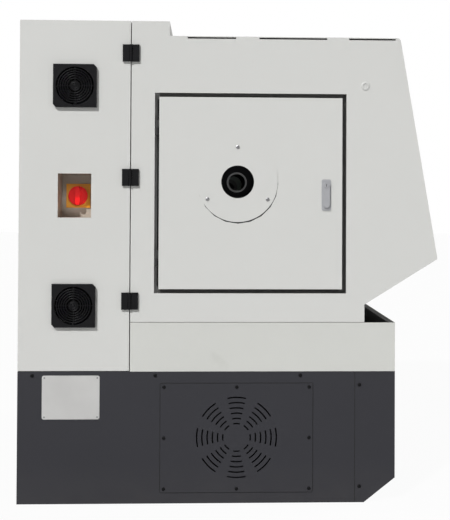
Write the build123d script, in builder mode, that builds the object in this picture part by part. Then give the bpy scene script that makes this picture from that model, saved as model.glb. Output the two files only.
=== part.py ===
from build123d import *
import os
from math import cos, hypot, radians, sin

# Sizes are in millimetres. X runs along the spindle from the headstock end, Y to the rear, Z up.

# Whole machine
overall_length = 1600.0
overall_depth = 1264.8
overall_height = 1450.0

# Clearances and joints shared by all pieces
running_gap = 0.05
slide_gap = 0.3
seam_gap = 3.0
cut_overrun = 6.0

# Enclosure outline as seen from the headstock end
cabinet_depth_share = 0.26344
hood_depth_share = 0.0914
front_lean_share = 0.09061
apron_run_share = 0.17631
tray_setback_share = 0.10247
spindle_setback_share = 0.48142
toe_cover_share = 0.09662
toe_run_share = 0.07448
hood_rise = 43.9
base_height = 394.8
tray_height = 146.9
apex_rise = 192.5
apron_foot_rise = 54.2
spindle_height = 965.9

# End panels, roof and front sheets
end_sheet = 3.0
end_flange = 25.0
roof_corner = 12.0
fold_corner = 4.0
roof_sheet = 2.5
roof_lip = 28.0
notch_height = 5.0
notch_shares = ((0.077, 0.286), (0.387, 0.681), (0.776, 0.979))
skin_sheet = 2.5
apron_sheet = 2.5
apron_drip = 18.0

# Base, toe cover and motor vent
base_sheet = 4.0
base_deck = 8.0
toe_rise = 74.0
cover_sheet = 2.5
vent_width = 458.2
vent_height = 325.7
vent_low = 33.1
vent_overlap = 24.0
vent_plate = 2.0
vent_corner = 4.0
vent_sectors = 8
vent_rings = 6
vent_first_radius = 41.5
vent_ring_step = 15.7
vent_slot_width = 4.2
vent_half_angle = 13.5

# Chip tray
tray_sheet = 3.0
tray_rim = 20.0
seat_setback = 5.0
collar_height = 40.0
belt_slot_side = 24.0
belt_slot_end = 4.0

# Electrical cabinet, its end door, hinges, fans and main switch
cabinet_sheet = 2.5
cabinet_lip = 24.0
rear_frame_seam = 0.2
rear_cover_sheet = 2.0
rear_cover_margin = 60.0
rear_cover_overlap = 20.0
end_door_depth = 25.0
end_door_sheet = 2.0
hinge_shares = (0.2004, 0.5523, 0.9076)
hinge_height = 51.0
hinge_leaf_reach = 25.0
hinge_leaf_thick = 8.0
hinge_knuckle_radius = 5.5
hinge_pin_radius = 3.0
fan_inset = 197.8
fan_frame_size = 120.0
fan_frame_depth = 38.0
fan_bore_radius = 57.0
fan_hub_radius = 20.0
fan_shaft_radius = 4.0
fan_blades = 5
fan_blade_thick = 2.0
fan_blade_pitch = 38.0
fan_strut = 6.0
fan_back = 5.0
grille_size = 130.0
grille_depth = 12.0
grille_corner = 9.0
grille_hub_radius = 15.5
grille_bar = 3.2
grille_rings = 6
grille_ring_depth = 2.5
grille_spokes = 2
pocket_width = 100.0
pocket_height = 132.5
pocket_depth = 110.0
isolator_plate_size = 74.0
isolator_plate_thick = 4.0
isolator_neck_radius = 18.0
isolator_body_size = 62.0
isolator_body_depth = 46.0
isolator_knob_radius = 29.5
isolator_knob_thick = 12.0
isolator_grip_width = 15.0
isolator_grip_thick = 16.0
isolator_grip_inset = 1.5
isolator_shaft_radius = 5.0
mount_plate_thick = 3.0
mount_plate_margin = 90.0
module_count = 5
module_height = 330.0
module_depth = 170.0
module_gap_share = 0.28
duct_height = 60.0
duct_depth = 70.0

# Spindle door in the left end panel
opening_width_share = 0.45841
opening_height = 603.7
opening_offset_share = 0.03123
opening_drop = 34.2
door_gap = 12.0
door_depth = 26.0
door_sheet = 2.0
channel_sheet = 2.0
channel_lip = 30.0
seal_gap = 2.0
pivot_shares = (0.16, 0.84)
pivot_radius = 4.5
pivot_pin_radius = 2.5
pivot_length = 24.0
spindle_cover_diameter = 243.0
spindle_cover_hole = 99.0
spindle_cover_thick = 2.0
door_hole_margin = 12.0
lock_width = 28.0
lock_height = 94.0
lock_plate = 3.0
lock_edge_inset = 48.7
lock_drop = 4.3
lock_corner = 5.0
lock_barrel_radius = 11.0
lock_barrel_length = 30.0
lock_handle_width = 21.0
lock_handle_length = 78.0
lock_handle_thick = 6.0
lock_pivot_drop = 18.0
lock_shaft_radius = 5.0
lock_cam_reach = 26.0
lock_cam_width = 16.0
lock_cam_thick = 4.0

# Spindle line
spindle_tail_setback = 100.0
spindle_bore_radius = 26.0
spindle_tail_radius = 32.5
rear_journal_radius = 37.5
front_journal_radius = 50.0
rear_bearing_radius = 57.5
rear_bearing_width = 26.0
front_bearing_radius = 75.0
front_bearing_width = 56.0
headstock_core_radius = 54.0
headstock_length = 265.0
headstock_width = 300.0
headstock_top_rise = 150.0
headstock_edge = 28.0
headstock_clear = 9.0
nose_radius = 75.0
nose_thick = 20.0
nose_gap = 2.0
chuck_radius = 100.0
chuck_thick = 80.0
chuck_bore_radius = 27.0
chuck_edge = 4.0
jaw_count = 3
jaw_width = 28.0
jaw_inner = 32.0
jaw_outer = 90.0
jaw_step = 54.0
jaw_low = 18.0
jaw_high = 38.0
jaw_slot_depth = 28.0
pulley_inset = 4.0
pulley_width = 70.0
spindle_pulley_radius = 75.0
motor_pulley_radius = 55.0
groove_count = 3
groove_depth = 12.0
groove_top = 16.0
groove_bottom = 10.4
belt_thick = 10.0
bulkhead_sheet = 2.0
bulkhead_gap = 4.0
nose_hole_gap = 8.0

# Spindle motor in the base
motor_height = 197.0
motor_radius = 88.0
motor_length = 290.0
motor_fins = 10
motor_fin_height = 8.0
motor_fin_thick = 4.0
motor_foot_width = 200.0
motor_foot_thick = 30.0
motor_bell = 26.0
motor_shaft_radius = 19.0
motor_shaft_insert = 60.0

# Bed and slideways
centre_height = 165.9
bed_width = 280.0
way_width = 62.0
way_depth = 48.0
web_thick = 34.0
foot_thick = 30.0
rib_thick = 24.0
rib_count = 5
rib_drop = 90.0
window_height = 170.0
window_margin = 34.0
window_corner = 30.0
bed_end_clear = 140.0
vee_half = 14.0
vee_height = 14.0

# Saddle and long screw
saddle_length = 240.0
saddle_rest_x = 100.0
saddle_front = 208.5
saddle_rear = 150.0
saddle_thick = 36.0
apron_drop = 140.0
apron_clear = 2.0
z_screw_radius = 12.5
z_journal_radius = 8.5
z_screw_out = 43.0
z_screw_drop = 100.0
z_bracket_length = 40.0
z_bracket_half = 36.0
z_bracket_left_gap = 38.0
z_bracket_right_inset = 20.0
z_servo_size = 80.0
z_servo_length = 130.0
servo_shaft_hole = 24.0
servo_corner_share = 0.1
servo_flange_length_share = 0.08
servo_body_share = 0.92
servo_body_length_share = 0.74
servo_cap_share = 0.78

# Cross slide, cross screw and turret
dovetail_top = 112.0
dovetail_bottom = 92.0
dovetail_height = 20.0
cross_width = 160.0
cross_front = 260.5
cross_rear = 63.5
cross_thick = 52.0
channel_width = 34.0
channel_floor = 18.0
x_wall = 15.0
x_screw_radius = 8.0
x_journal_radius = 6.0
x_screw_rise = 34.0
x_nut_length = 44.0
x_nut_half = 14.0
x_servo_size = 60.0
x_servo_clear = 32.0
x_bracket_thick = 14.0
turret_offset = 160.5
turret_base_size = 150.0
turret_base_thick = 40.0
turret_size = 130.0
turret_height = 80.0
turret_corner = 6.0
tool_slot_height = 22.0
tool_slot_depth = 24.0
tool_shank = 20.0
turret_cap_radius = 42.0
turret_cap_height = 20.0

# Tailstock
tailstock_length = 170.0
tailstock_end_clear = 20.0
tailstock_foot = 60.0
tailstock_foot_width = 270.0
tailstock_waist = 120.0
tailstock_barrel_radius = 56.0
quill_radius = 30.0
quill_length = 205.0
quill_out = 50.0
quill_socket_radius = 15.6
quill_socket_end_radius = 13.0
quill_socket_depth = 100.0
cylinder_radius = 42.0
cylinder_length = 90.0
lever_boss_radius = 20.0
lever_boss_reach = 14.0
lever_shaft_radius = 8.0
lever_shaft_insert = 40.0
lever_length = 85.0
lever_radius = 7.0
lever_hub_length = 22.0

# Sliding front door
front_opening_width_share = 0.38125
front_opening_height_share = 0.7923
front_opening_low_share = 0.091
front_opening_lead = 40.0
front_opening_corner = 14.0
hem_depth = 6.0
slider_overlap = 10.0
slider_front = 10.0
slider_thick = 22.0
slider_sheet = 2.0
rail_sheet = 3.0
rail_lip = 12.0
rail_play = 2.0
window_side = 95.0
window_low = 120.0
window_high = 110.0
window_radius = 26.0
glass_overlap = 14.0
glass_thick = 6.0
handle_radius = 9.0
handle_inset = 45.0
handle_reach = 42.0
handle_height = 190.0
handle_bend = 20.0

# Control panel on the front
panel_gap = 30.0
panel_end_clear = 40.0
panel_top_clear = 31.6
panel_height = 380.0
panel_depth = 30.0
panel_sheet = 2.0
screen_shares = (0.42, 0.42)
screen_inset = 40.0
screen_overlap = 8.0
screen_thick = 12.0
button_radius = 11.0
button_proud = 7.0
button_insert = 12.0
button_shares = ((0.62, 0.24), (0.72, 0.24))
stop_place_shares = (0.9, 0.84)
wheel_place_shares = (0.87, 0.35)
stop_head_radius = 20.0
stop_head_thick = 13.0
stop_travel = 6.0
stop_stem_radius = 11.0
wheel_radius = 34.0
wheel_thick = 14.0
wheel_stem_radius = 8.0
wheel_knob_radius = 6.0
wheel_knob_height = 8.0

# Coolant tank in the base
tank_length = 520.0
tank_width = 640.0
tank_height = 210.0
tank_sheet = 3.0
tank_end_clear = 60.0

# Positions worked out from the driving dimensions
cabinet_depth = overall_depth * cabinet_depth_share
hood_depth = overall_depth * hood_depth_share
front_lean = overall_depth * front_lean_share
apron_run = overall_depth * apron_run_share
tray_setback = overall_depth * tray_setback_share
spindle_setback = overall_depth * spindle_setback_share
toe_cover_depth = overall_depth * toe_cover_share
toe_run = overall_depth * toe_run_share
opening_width = overall_depth * opening_width_share
opening_offset = overall_depth * opening_offset_share
way_height = spindle_height - centre_height
left_x = -overall_length / 2 + grille_depth
right_x = overall_length / 2
rear_y = overall_depth / 2
front_y = -overall_depth / 2
seam_y = rear_y - cabinet_depth
hood_front_y = seam_y - hood_depth
roof_front_y = front_y + front_lean
low_front_y = front_y + apron_run
tray_front_y = front_y + tray_setback
base_front_y = tray_front_y + toe_cover_depth
spindle_y = front_y + spindle_setback
tray_top = base_height + tray_height
tray_floor = base_height + tray_sheet
apex_z = tray_top + apex_rise
low_z = tray_top + apron_foot_rise
roof_z = overall_height - hood_rise
panel_rear_y = seam_y - seam_gap / 2
cabinet_front_y = seam_y + seam_gap / 2
end_panel_low = tray_top + seam_gap / 2

slope_length = hypot(front_lean, roof_z - apex_z)
lean_sin = front_lean / slope_length
lean_cos = (roof_z - apex_z) / slope_length
front_plane = Plane(origin=(0, front_y, apex_z), x_dir=(1, 0, 0), z_dir=(0, -lean_cos, lean_sin))
inner_left_x = left_x + end_flange
inner_right_x = right_x - end_flange

spindle_tail_x = left_x + spindle_tail_setback
pulley_x = spindle_tail_x + pulley_inset
headstock_x = pulley_x + pulley_width + headstock_clear
headstock_end_x = headstock_x + headstock_length
nose_x = headstock_end_x + nose_gap + nose_thick
chuck_face_x = nose_x + chuck_thick
bed_end_x = right_x - bed_end_clear

os.makedirs("parts", exist_ok=True)


def save(piece, node):
    """Label a finished piece and write it to a file of its own."""
    piece.part.label = node
    export_step(piece.part, f"parts/{node}.step")


def on_front(s, n):
    """Y and Z of the point s up the leaning front and n out from it."""
    return (front_y + s * lean_sin - n * lean_cos, apex_z + s * lean_cos + n * lean_sin)


def block(x0, x1, y0, y1, z0, z1, mode=Mode.ADD):
    """Add or cut a straight block between two opposite corners."""
    with BuildSketch(Plane.XY.offset(z0)) as face:
        with Locations(((x0 + x1) / 2, (y0 + y1) / 2)):
            Rectangle(x1 - x0, y1 - y0)
    extrude(face.sketch, amount=z1 - z0, mode=mode)


def along_x(points, x0, x1, mode=Mode.ADD):
    """Extrude a closed Y-Z outline along X."""
    with BuildSketch(Plane.YZ.offset(x0)) as face:
        with BuildLine():
            Polyline(*points, close=True)
        make_face()
    extrude(face.sketch, amount=x1 - x0, mode=mode)


def along_y(points, y0, y1, mode=Mode.ADD):
    """Extrude a closed X-Z outline along Y."""
    with BuildSketch(Plane.XZ.offset(-y0)) as face:
        with BuildLine():
            Polyline(*points, close=True)
        make_face()
    extrude(face.sketch, amount=y0 - y1, mode=mode)


def rod(plane, radius, length, mode=Mode.ADD):
    """Add or cut a round bar that stands on a plane's origin."""
    with BuildSketch(plane) as face:
        Circle(radius)
    extrude(face.sketch, amount=length, mode=mode)


def x_rod(x0, x1, y, z, radius, mode=Mode.ADD):
    """Add or cut a round bar along X."""
    rod(Plane(origin=(x0, y, z), x_dir=(0, 1, 0), z_dir=(1, 0, 0)), radius, x1 - x0, mode)


def y_rod(y0, y1, x, z, radius, mode=Mode.ADD):
    """Add or cut a round bar along Y."""
    rod(Plane(origin=(x, y0, z), x_dir=(1, 0, 0), z_dir=(0, 1, 0)), radius, y1 - y0, mode)


def z_rod(z0, z1, x, y, radius, mode=Mode.ADD):
    """Add or cut a round bar along Z."""
    rod(Plane(origin=(x, y, z0), x_dir=(1, 0, 0), z_dir=(0, 0, 1)), radius, z1 - z0, mode)


def turned(points, y, z, mode=Mode.ADD):
    """Revolve a closed outline of X and radius points about the line along X through y, z."""
    with BuildSketch(Plane(origin=(0, y, z), x_dir=(1, 0, 0), z_dir=(0, -1, 0))) as face:
        with BuildLine():
            Polyline(*points, close=True)
        make_face()
    revolve(face.sketch, axis=Axis((0, y, z), (1, 0, 0)), mode=mode)


# Base cabinet: welded box with a floor, a deck, a motor air opening and a belt slot
vent_mid_z = vent_low + vent_height / 2
belt_slot_x0 = pulley_x - belt_slot_end
belt_slot_x1 = pulley_x + pulley_width + belt_slot_end
belt_slot_y0 = spindle_y - spindle_pulley_radius - belt_slot_side
belt_slot_y1 = spindle_y + spindle_pulley_radius + belt_slot_side
with BuildPart() as base_cabinet:
    block(left_x, right_x, base_front_y, rear_y, 0, base_height)
    block(left_x + base_sheet, right_x - base_sheet, base_front_y + base_sheet, rear_y - base_sheet,
          base_sheet, base_height - base_deck, Mode.SUBTRACT)
    with BuildSketch(Plane.YZ.offset(left_x - cut_overrun)):
        with Locations((spindle_y, vent_mid_z)):
            Rectangle(vent_width - 2 * vent_overlap, vent_height - 2 * vent_overlap)
    extrude(amount=base_sheet + 2 * cut_overrun, mode=Mode.SUBTRACT)
    block(belt_slot_x0, belt_slot_x1, belt_slot_y0, belt_slot_y1,
          base_height - base_deck - cut_overrun, base_height + cut_overrun, Mode.SUBTRACT)
save(base_cabinet, "base_cabinet")

# Base front cover: folded box along the front with a sloping toe recess, open to the rear
with BuildPart() as base_front_cover:
    with BuildSketch(Plane.YZ.offset(left_x)):
        with BuildLine():
            Polyline((base_front_y, base_height), (tray_front_y, base_height), (tray_front_y, toe_rise),
                     (tray_front_y + toe_run, 0), (base_front_y, 0), close=True)
        make_face()
    extrude(amount=right_x - left_x)
    offset(amount=-cover_sheet, openings=base_front_cover.faces().sort_by(Axis.Y)[-1])
save(base_front_cover, "base_front_cover")

# Motor vent cover: flat plate with arc slots in rings and sectors round the motor axis
vent_slots = []
for ring in range(vent_rings):
    ring_radius = vent_first_radius + ring * vent_ring_step
    with BuildSketch() as vent_slot:
        with BuildLine():
            slot_outer = CenterArc((0, 0), ring_radius + vent_slot_width / 2, -vent_half_angle,
                                   2 * vent_half_angle)
            slot_inner = CenterArc((0, 0), ring_radius - vent_slot_width / 2, -vent_half_angle,
                                   2 * vent_half_angle)
            Line(slot_outer @ 0, slot_inner @ 0)
            Line(slot_outer @ 1, slot_inner @ 1)
        make_face()
    vent_slots.append(vent_slot.sketch)
with BuildPart() as motor_vent_cover:
    with BuildSketch(Plane.YZ.offset(left_x - vent_plate)):
        with Locations((spindle_y, vent_mid_z)):
            RectangleRounded(vent_width, vent_height, vent_corner)
        with Locations((spindle_y, motor_height)):
            with PolarLocations(0, vent_sectors):
                add(vent_slots, mode=Mode.SUBTRACT)
    extrude(amount=vent_plate)
save(motor_vent_cover, "motor_vent_cover")

# Chip tray: open pan with folded rims, a seat strip under each end panel and a collar at the belt slot
with BuildPart() as chip_tray:
    block(left_x, right_x, tray_front_y, panel_rear_y, base_height, tray_top)
    offset(amount=-tray_sheet, openings=chip_tray.faces().sort_by(Axis.Z)[-1])
    block(left_x, right_x, tray_front_y, tray_front_y + tray_rim, tray_top - tray_sheet, tray_top)
    for end_x, inward in ((left_x, 1), (right_x, -1)):
        rim_x = end_x + inward * tray_rim
        seat_x = end_x + inward * seat_setback
        block(min(end_x, rim_x), max(end_x, rim_x), low_front_y, panel_rear_y, tray_top - tray_sheet,
              tray_top)
        block(min(seat_x, rim_x), max(seat_x, rim_x), low_front_y + seat_setback, panel_rear_y - seat_setback,
              tray_top, end_panel_low)
    block(belt_slot_x0 - tray_sheet, belt_slot_x1 + tray_sheet, belt_slot_y0 - tray_sheet,
          belt_slot_y1 + tray_sheet, base_height, tray_floor + collar_height)
    block(belt_slot_x0, belt_slot_x1, belt_slot_y0, belt_slot_y1,
          base_height - cut_overrun, tray_floor + collar_height + cut_overrun, Mode.SUBTRACT)
save(chip_tray, "chip_tray")

# Cabinet shell: folded wrapper open at its end door, and a flat rear frame with two service openings
cabinet_x = left_x + end_door_depth + seal_gap / 2
rear_skin_y = rear_y - rear_cover_sheet
wrapper_rear_y = rear_skin_y - cabinet_sheet - rear_frame_seam
cabinet_height = overall_height - base_height
rear_cover_pitch = (right_x - cabinet_x) / 2
rear_cover_width = rear_cover_pitch - 2 * rear_cover_margin
rear_cover_height = cabinet_height - 2 * rear_cover_margin
rear_cover_plane = Plane(origin=((cabinet_x + right_x) / 2, rear_skin_y, base_height + cabinet_height / 2),
                         x_dir=(1, 0, 0), z_dir=(0, -1, 0))
with BuildPart() as cabinet_shell:
    block(cabinet_x, right_x, cabinet_front_y, wrapper_rear_y, base_height, overall_height)
    offset(amount=-cabinet_sheet, openings=[cabinet_shell.faces().sort_by(Axis.X)[0],
                                            cabinet_shell.faces().sort_by(Axis.Y)[-1]])
    with BuildSketch(Plane.YZ.offset(cabinet_x)):
        with Locations(((cabinet_front_y + wrapper_rear_y) / 2, base_height + cabinet_height / 2)):
            Rectangle(wrapper_rear_y - cabinet_front_y, cabinet_height)
            Rectangle(wrapper_rear_y - cabinet_front_y - 2 * cabinet_lip, cabinet_height - 2 * cabinet_lip,
                      mode=Mode.SUBTRACT)
    extrude(amount=cabinet_sheet)
    with BuildSketch(rear_cover_plane):
        Rectangle(right_x - cabinet_x, cabinet_height)
        with GridLocations(rear_cover_pitch, 0, 2, 1):
            Rectangle(rear_cover_width, rear_cover_height, mode=Mode.SUBTRACT)
    extrude(amount=cabinet_sheet)
save(cabinet_shell, "cabinet_shell")

# Rear covers: two plates screwed over the service openings
with BuildPart() as rear_covers:
    with BuildSketch(rear_cover_plane):
        with GridLocations(rear_cover_pitch, 0, 2, 1):
            Rectangle(rear_cover_width + 2 * rear_cover_overlap, rear_cover_height + 2 * rear_cover_overlap)
    extrude(amount=-rear_cover_sheet)
save(rear_covers, "rear_covers")

# Drive modules: mounting plate with a row of drives between two cable ducts
plate_x0 = cabinet_x + pocket_depth + mount_plate_margin
plate_x1 = right_x - mount_plate_margin
plate_y = cabinet_front_y + cabinet_sheet
plate_z0 = base_height + mount_plate_margin
plate_z1 = overall_height - mount_plate_margin
plate_mid_z = (plate_z0 + plate_z1) / 2
module_pitch = (plate_x1 - plate_x0) / module_count
module_plane = Plane(origin=((plate_x0 + plate_x1) / 2, plate_y + mount_plate_thick, plate_mid_z),
                     x_dir=(-1, 0, 0), z_dir=(0, 1, 0))
with BuildPart() as drive_modules:
    block(plate_x0, plate_x1, plate_y, plate_y + mount_plate_thick, plate_z0, plate_z1)
    with BuildSketch(module_plane):
        with GridLocations(module_pitch, 0, module_count, 1):
            Rectangle(module_pitch * (1 - module_gap_share), module_height)
    extrude(amount=module_depth)
    with BuildSketch(module_plane):
        with GridLocations(0, module_height + 2 * duct_height, 1, 2):
            Rectangle(plate_x1 - plate_x0 - 2 * duct_height, duct_height)
    extrude(amount=duct_depth)
save(drive_modules, "drive_modules")

# End panel outline shared by both ends: a flat sheet with its edge turned in all round
end_outline = ((panel_rear_y, end_panel_low), (panel_rear_y, overall_height), (hood_front_y, overall_height),
               (hood_front_y, roof_z), (roof_front_y, roof_z), (front_y, apex_z),
               (low_front_y, low_z), (low_front_y, end_panel_low))
end_radii = (0, 0, 0, 0, roof_corner, fold_corner, 0, 0)
roof_plate_front = roof_front_y + roof_corner


def end_pan(face_x, inward):
    """Folded end panel with a shallow rebate along the top for the roof plate."""
    with BuildPart() as pan:
        with BuildSketch(Plane.YZ.offset(face_x)) as outline:
            with BuildLine():
                FilletPolyline(*end_outline, radius=end_radii, close=True)
            make_face()
        extrude(outline.sketch, amount=inward * end_flange)
        offset(amount=-end_sheet, openings=pan.faces().sort_by(Axis.X)[-1 if inward > 0 else 0])
        block(face_x - end_flange - cut_overrun, face_x + end_flange + cut_overrun,
              roof_plate_front, hood_front_y, roof_z - roof_sheet, roof_z + cut_overrun, Mode.SUBTRACT)
    return pan.part


# Left end panel: recessed door frame, roof edge notches and the spindle door's pivot pins
opening_y = spindle_y - opening_offset
opening_z = spindle_height - opening_drop
opening_rear_y = opening_y + opening_width / 2
door_width = opening_width - 2 * door_gap
door_height = opening_height - 2 * door_gap
door_rear_y = opening_y + door_width / 2
channel_depth = door_depth + seal_gap + channel_sheet
pivot_x = left_x + pivot_radius
pivot_y = opening_rear_y - door_gap / 2
pivot_levels = [opening_z - door_height / 2 + share * door_height for share in pivot_shares]
left_pan = end_pan(left_x, 1)
with BuildPart() as left_end_panel:
    add(left_pan)
    with BuildSketch(Plane.YZ.offset(left_x + end_sheet)):
        with Locations((opening_y, opening_z)):
            Rectangle(opening_width + 2 * channel_sheet, opening_height + 2 * channel_sheet)
    extrude(amount=channel_depth - end_sheet)
    with BuildSketch(Plane.YZ.offset(left_x - cut_overrun)):
        with Locations((opening_y, opening_z)):
            Rectangle(opening_width, opening_height)
    extrude(amount=channel_depth - channel_sheet + cut_overrun, mode=Mode.SUBTRACT)
    with BuildSketch(Plane.YZ.offset(left_x)):
        with Locations((opening_y, opening_z)):
            Rectangle(opening_width - 2 * channel_lip, opening_height - 2 * channel_lip)
    extrude(amount=channel_depth + cut_overrun, mode=Mode.SUBTRACT)
    for near_share, far_share in notch_shares:
        roof_run = hood_front_y - roof_front_y
        block(left_x - cut_overrun, left_x + end_flange + cut_overrun,
              hood_front_y - far_share * roof_run, hood_front_y - near_share * roof_run,
              roof_z - roof_sheet - notch_height, roof_z + cut_overrun, Mode.SUBTRACT)
    for level in pivot_levels:
        block(pivot_x - pivot_pin_radius, pivot_x + pivot_radius, pivot_y,
              opening_rear_y + channel_sheet / 2, level - pivot_length, level)
        z_rod(level - pivot_length, level, pivot_x, pivot_y, pivot_radius)
        z_rod(level, level + pivot_length, pivot_x, pivot_y, pivot_pin_radius)
save(left_end_panel, "left_end_panel")

# Right end panel: plain folded sheet of the same outline
right_pan = end_pan(right_x, -1)
with BuildPart() as right_end_panel:
    add(right_pan)
save(right_end_panel, "right_end_panel")

# Roof: one folded sheet with a front lip and a raised hood at the rear, lapped over both end panels
with BuildPart() as roof_panel:
    with BuildSketch(Plane.YZ.offset(inner_left_x)):
        with BuildLine():
            Polyline(on_front(slope_length - roof_lip, 0), (roof_front_y, roof_z), (hood_front_y, roof_z),
                     (hood_front_y, overall_height), (panel_rear_y, overall_height),
                     (panel_rear_y, overall_height - roof_lip))
            offset(amount=roof_sheet, side=Side.RIGHT)
        make_face()
    extrude(amount=inner_right_x - inner_left_x)
    block(left_x, right_x, roof_plate_front, hood_front_y, roof_z - roof_sheet, roof_z)
save(roof_panel, "roof_panel")

# Leaning front: flat sheet with a hemmed door opening
front_opening_width = overall_length * front_opening_width_share
front_opening_height = slope_length * front_opening_height_share
front_opening_low = slope_length * front_opening_low_share
front_opening_x0 = headstock_end_x - front_opening_lead
front_opening_x1 = front_opening_x0 + front_opening_width
front_opening_x = (front_opening_x0 + front_opening_x1) / 2
front_opening_s = front_opening_low + front_opening_height / 2
skin_low = apron_sheet + slide_gap
skin_high = slope_length - roof_lip - slide_gap
with BuildPart() as front_frame:
    with BuildSketch(front_plane):
        with Locations(((inner_left_x + inner_right_x) / 2, (skin_low + skin_high) / 2)):
            Rectangle(inner_right_x - inner_left_x, skin_high - skin_low)
    extrude(amount=-skin_sheet)
    with BuildSketch(front_plane):
        with Locations((front_opening_x, front_opening_s)):
            RectangleRounded(front_opening_width + 2 * skin_sheet, front_opening_height + 2 * skin_sheet,
                             front_opening_corner + skin_sheet)
    extrude(amount=-hem_depth)
    with BuildSketch(front_plane.offset(cut_overrun)):
        with Locations((front_opening_x, front_opening_s)):
            RectangleRounded(front_opening_width, front_opening_height, front_opening_corner)
    extrude(amount=-hem_depth - 2 * cut_overrun, mode=Mode.SUBTRACT)
save(front_frame, "front_frame")

# Front apron: folded sheet from the foremost fold down into the tray
with BuildPart() as front_apron:
    with BuildSketch(Plane.YZ.offset(inner_left_x)):
        with BuildLine():
            Polyline((front_y, apex_z), (low_front_y, low_z), (low_front_y, tray_top - apron_drip))
            offset(amount=apron_sheet, side=Side.LEFT)
        make_face()
    extrude(amount=inner_right_x - inner_left_x)
save(front_apron, "front_apron")

# Inner bulkhead: splash wall between the headstock and the work space
bulkhead_x = headstock_end_x + bulkhead_gap
slider_back = slider_front + slider_thick
rail_back = slider_back + rail_play + rail_sheet
bulkhead_back = rail_back + bulkhead_gap
bulkhead_top = roof_z - roof_sheet - bulkhead_gap
bulkhead_rear_y = panel_rear_y - tray_sheet
bulkhead_high_s = (bulkhead_top - apex_z + bulkhead_back * lean_sin) / lean_cos
bed_half = bed_width / 2
with BuildPart() as inner_bulkhead:
    along_x(((bulkhead_rear_y, tray_floor), (bulkhead_rear_y, bulkhead_top),
             on_front(bulkhead_high_s, -bulkhead_back), on_front(0, -bulkhead_back),
             (low_front_y + bulkhead_back, low_z), (low_front_y + bulkhead_back, tray_floor)),
            bulkhead_x, bulkhead_x + bulkhead_sheet)
    block(bulkhead_x - cut_overrun, bulkhead_x + bulkhead_sheet + cut_overrun,
          spindle_y - bed_half - bulkhead_gap, spindle_y + bed_half + bulkhead_gap,
          tray_floor - cut_overrun, way_height + vee_height + bulkhead_gap, Mode.SUBTRACT)
    x_rod(bulkhead_x - cut_overrun, bulkhead_x + bulkhead_sheet + cut_overrun, spindle_y, spindle_height,
          nose_radius + nose_hole_gap, Mode.SUBTRACT)
save(inner_bulkhead, "inner_bulkhead")

# Bed: two guideways on tall webs, a foot plate, cross ribs and chip windows through both webs
vee_y = spindle_y - bed_half + way_width / 2
web_y = bed_half - web_thick / 2
way_y = bed_half - way_width / 2
bed_length = bed_end_x - headstock_x
rib_pitch = (bed_length - rib_thick) / (rib_count - 1)
window_z = (tray_floor + foot_thick + way_height - way_depth) / 2
with BuildPart() as bed:
    with BuildSketch(Plane.YZ.offset(headstock_x)):
        with Locations((spindle_y - way_y, way_height - way_depth / 2),
                       (spindle_y + way_y, way_height - way_depth / 2)):
            Rectangle(way_width, way_depth)
        with Locations((spindle_y - web_y, (tray_floor + way_height) / 2),
                       (spindle_y + web_y, (tray_floor + way_height) / 2)):
            Rectangle(web_thick, way_height - tray_floor)
        with Locations((spindle_y, tray_floor + foot_thick / 2)):
            Rectangle(bed_width, foot_thick)
        with BuildLine():
            Polyline((vee_y - vee_half, way_height), (vee_y, way_height + vee_height),
                     (vee_y + vee_half, way_height), close=True)
        make_face()
    extrude(amount=bed_length)
    for rib in range(rib_count):
        rib_x = headstock_x + rib * rib_pitch
        block(rib_x, rib_x + rib_thick, spindle_y - bed_half + web_thick, spindle_y + bed_half - web_thick,
              tray_floor + foot_thick, way_height - rib_drop)
    with BuildSketch(Plane.XZ.offset(-spindle_y - bed_half - cut_overrun)):
        with Locations(((headstock_x + bed_end_x) / 2, window_z)):
            with GridLocations(rib_pitch, 0, rib_count - 1, 1):
                RectangleRounded(rib_pitch - rib_thick - 2 * window_margin, window_height, window_corner)
    extrude(amount=bed_width + 2 * cut_overrun, mode=Mode.SUBTRACT)
save(bed, "bed")


def vee_groove(x0, x1):
    """Cut the clearance groove that rides over the bed's vee way."""
    along_x(((vee_y - vee_half - 2 * slide_gap, way_height), (vee_y, way_height + vee_height + 2 * slide_gap),
             (vee_y + vee_half + 2 * slide_gap, way_height)), x0 - cut_overrun, x1 + cut_overrun,
            Mode.SUBTRACT)


# Headstock: cast box with rounded top edges and a stepped bore for the spindle bearings
headstock_half = headstock_width / 2
with BuildPart() as headstock:
    with BuildSketch(Plane.YZ.offset(headstock_x)):
        with BuildLine():
            FilletPolyline((spindle_y - headstock_half, way_height),
                           (spindle_y - headstock_half, spindle_height + headstock_top_rise),
                           (spindle_y + headstock_half, spindle_height + headstock_top_rise),
                           (spindle_y + headstock_half, way_height),
                           radius=(0, headstock_edge, headstock_edge, 0), close=True)
        make_face()
    extrude(amount=headstock_length)
    turned(((headstock_x - cut_overrun, 0), (headstock_x - cut_overrun, rear_bearing_radius),
            (headstock_x + rear_bearing_width, rear_bearing_radius),
            (headstock_x + rear_bearing_width, headstock_core_radius),
            (headstock_end_x - front_bearing_width, headstock_core_radius),
            (headstock_end_x - front_bearing_width, front_bearing_radius),
            (headstock_end_x + cut_overrun, front_bearing_radius),
            (headstock_end_x + cut_overrun, 0)), spindle_y, spindle_height, Mode.SUBTRACT)
    vee_groove(headstock_x, headstock_end_x)
save(headstock, "headstock")

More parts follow.
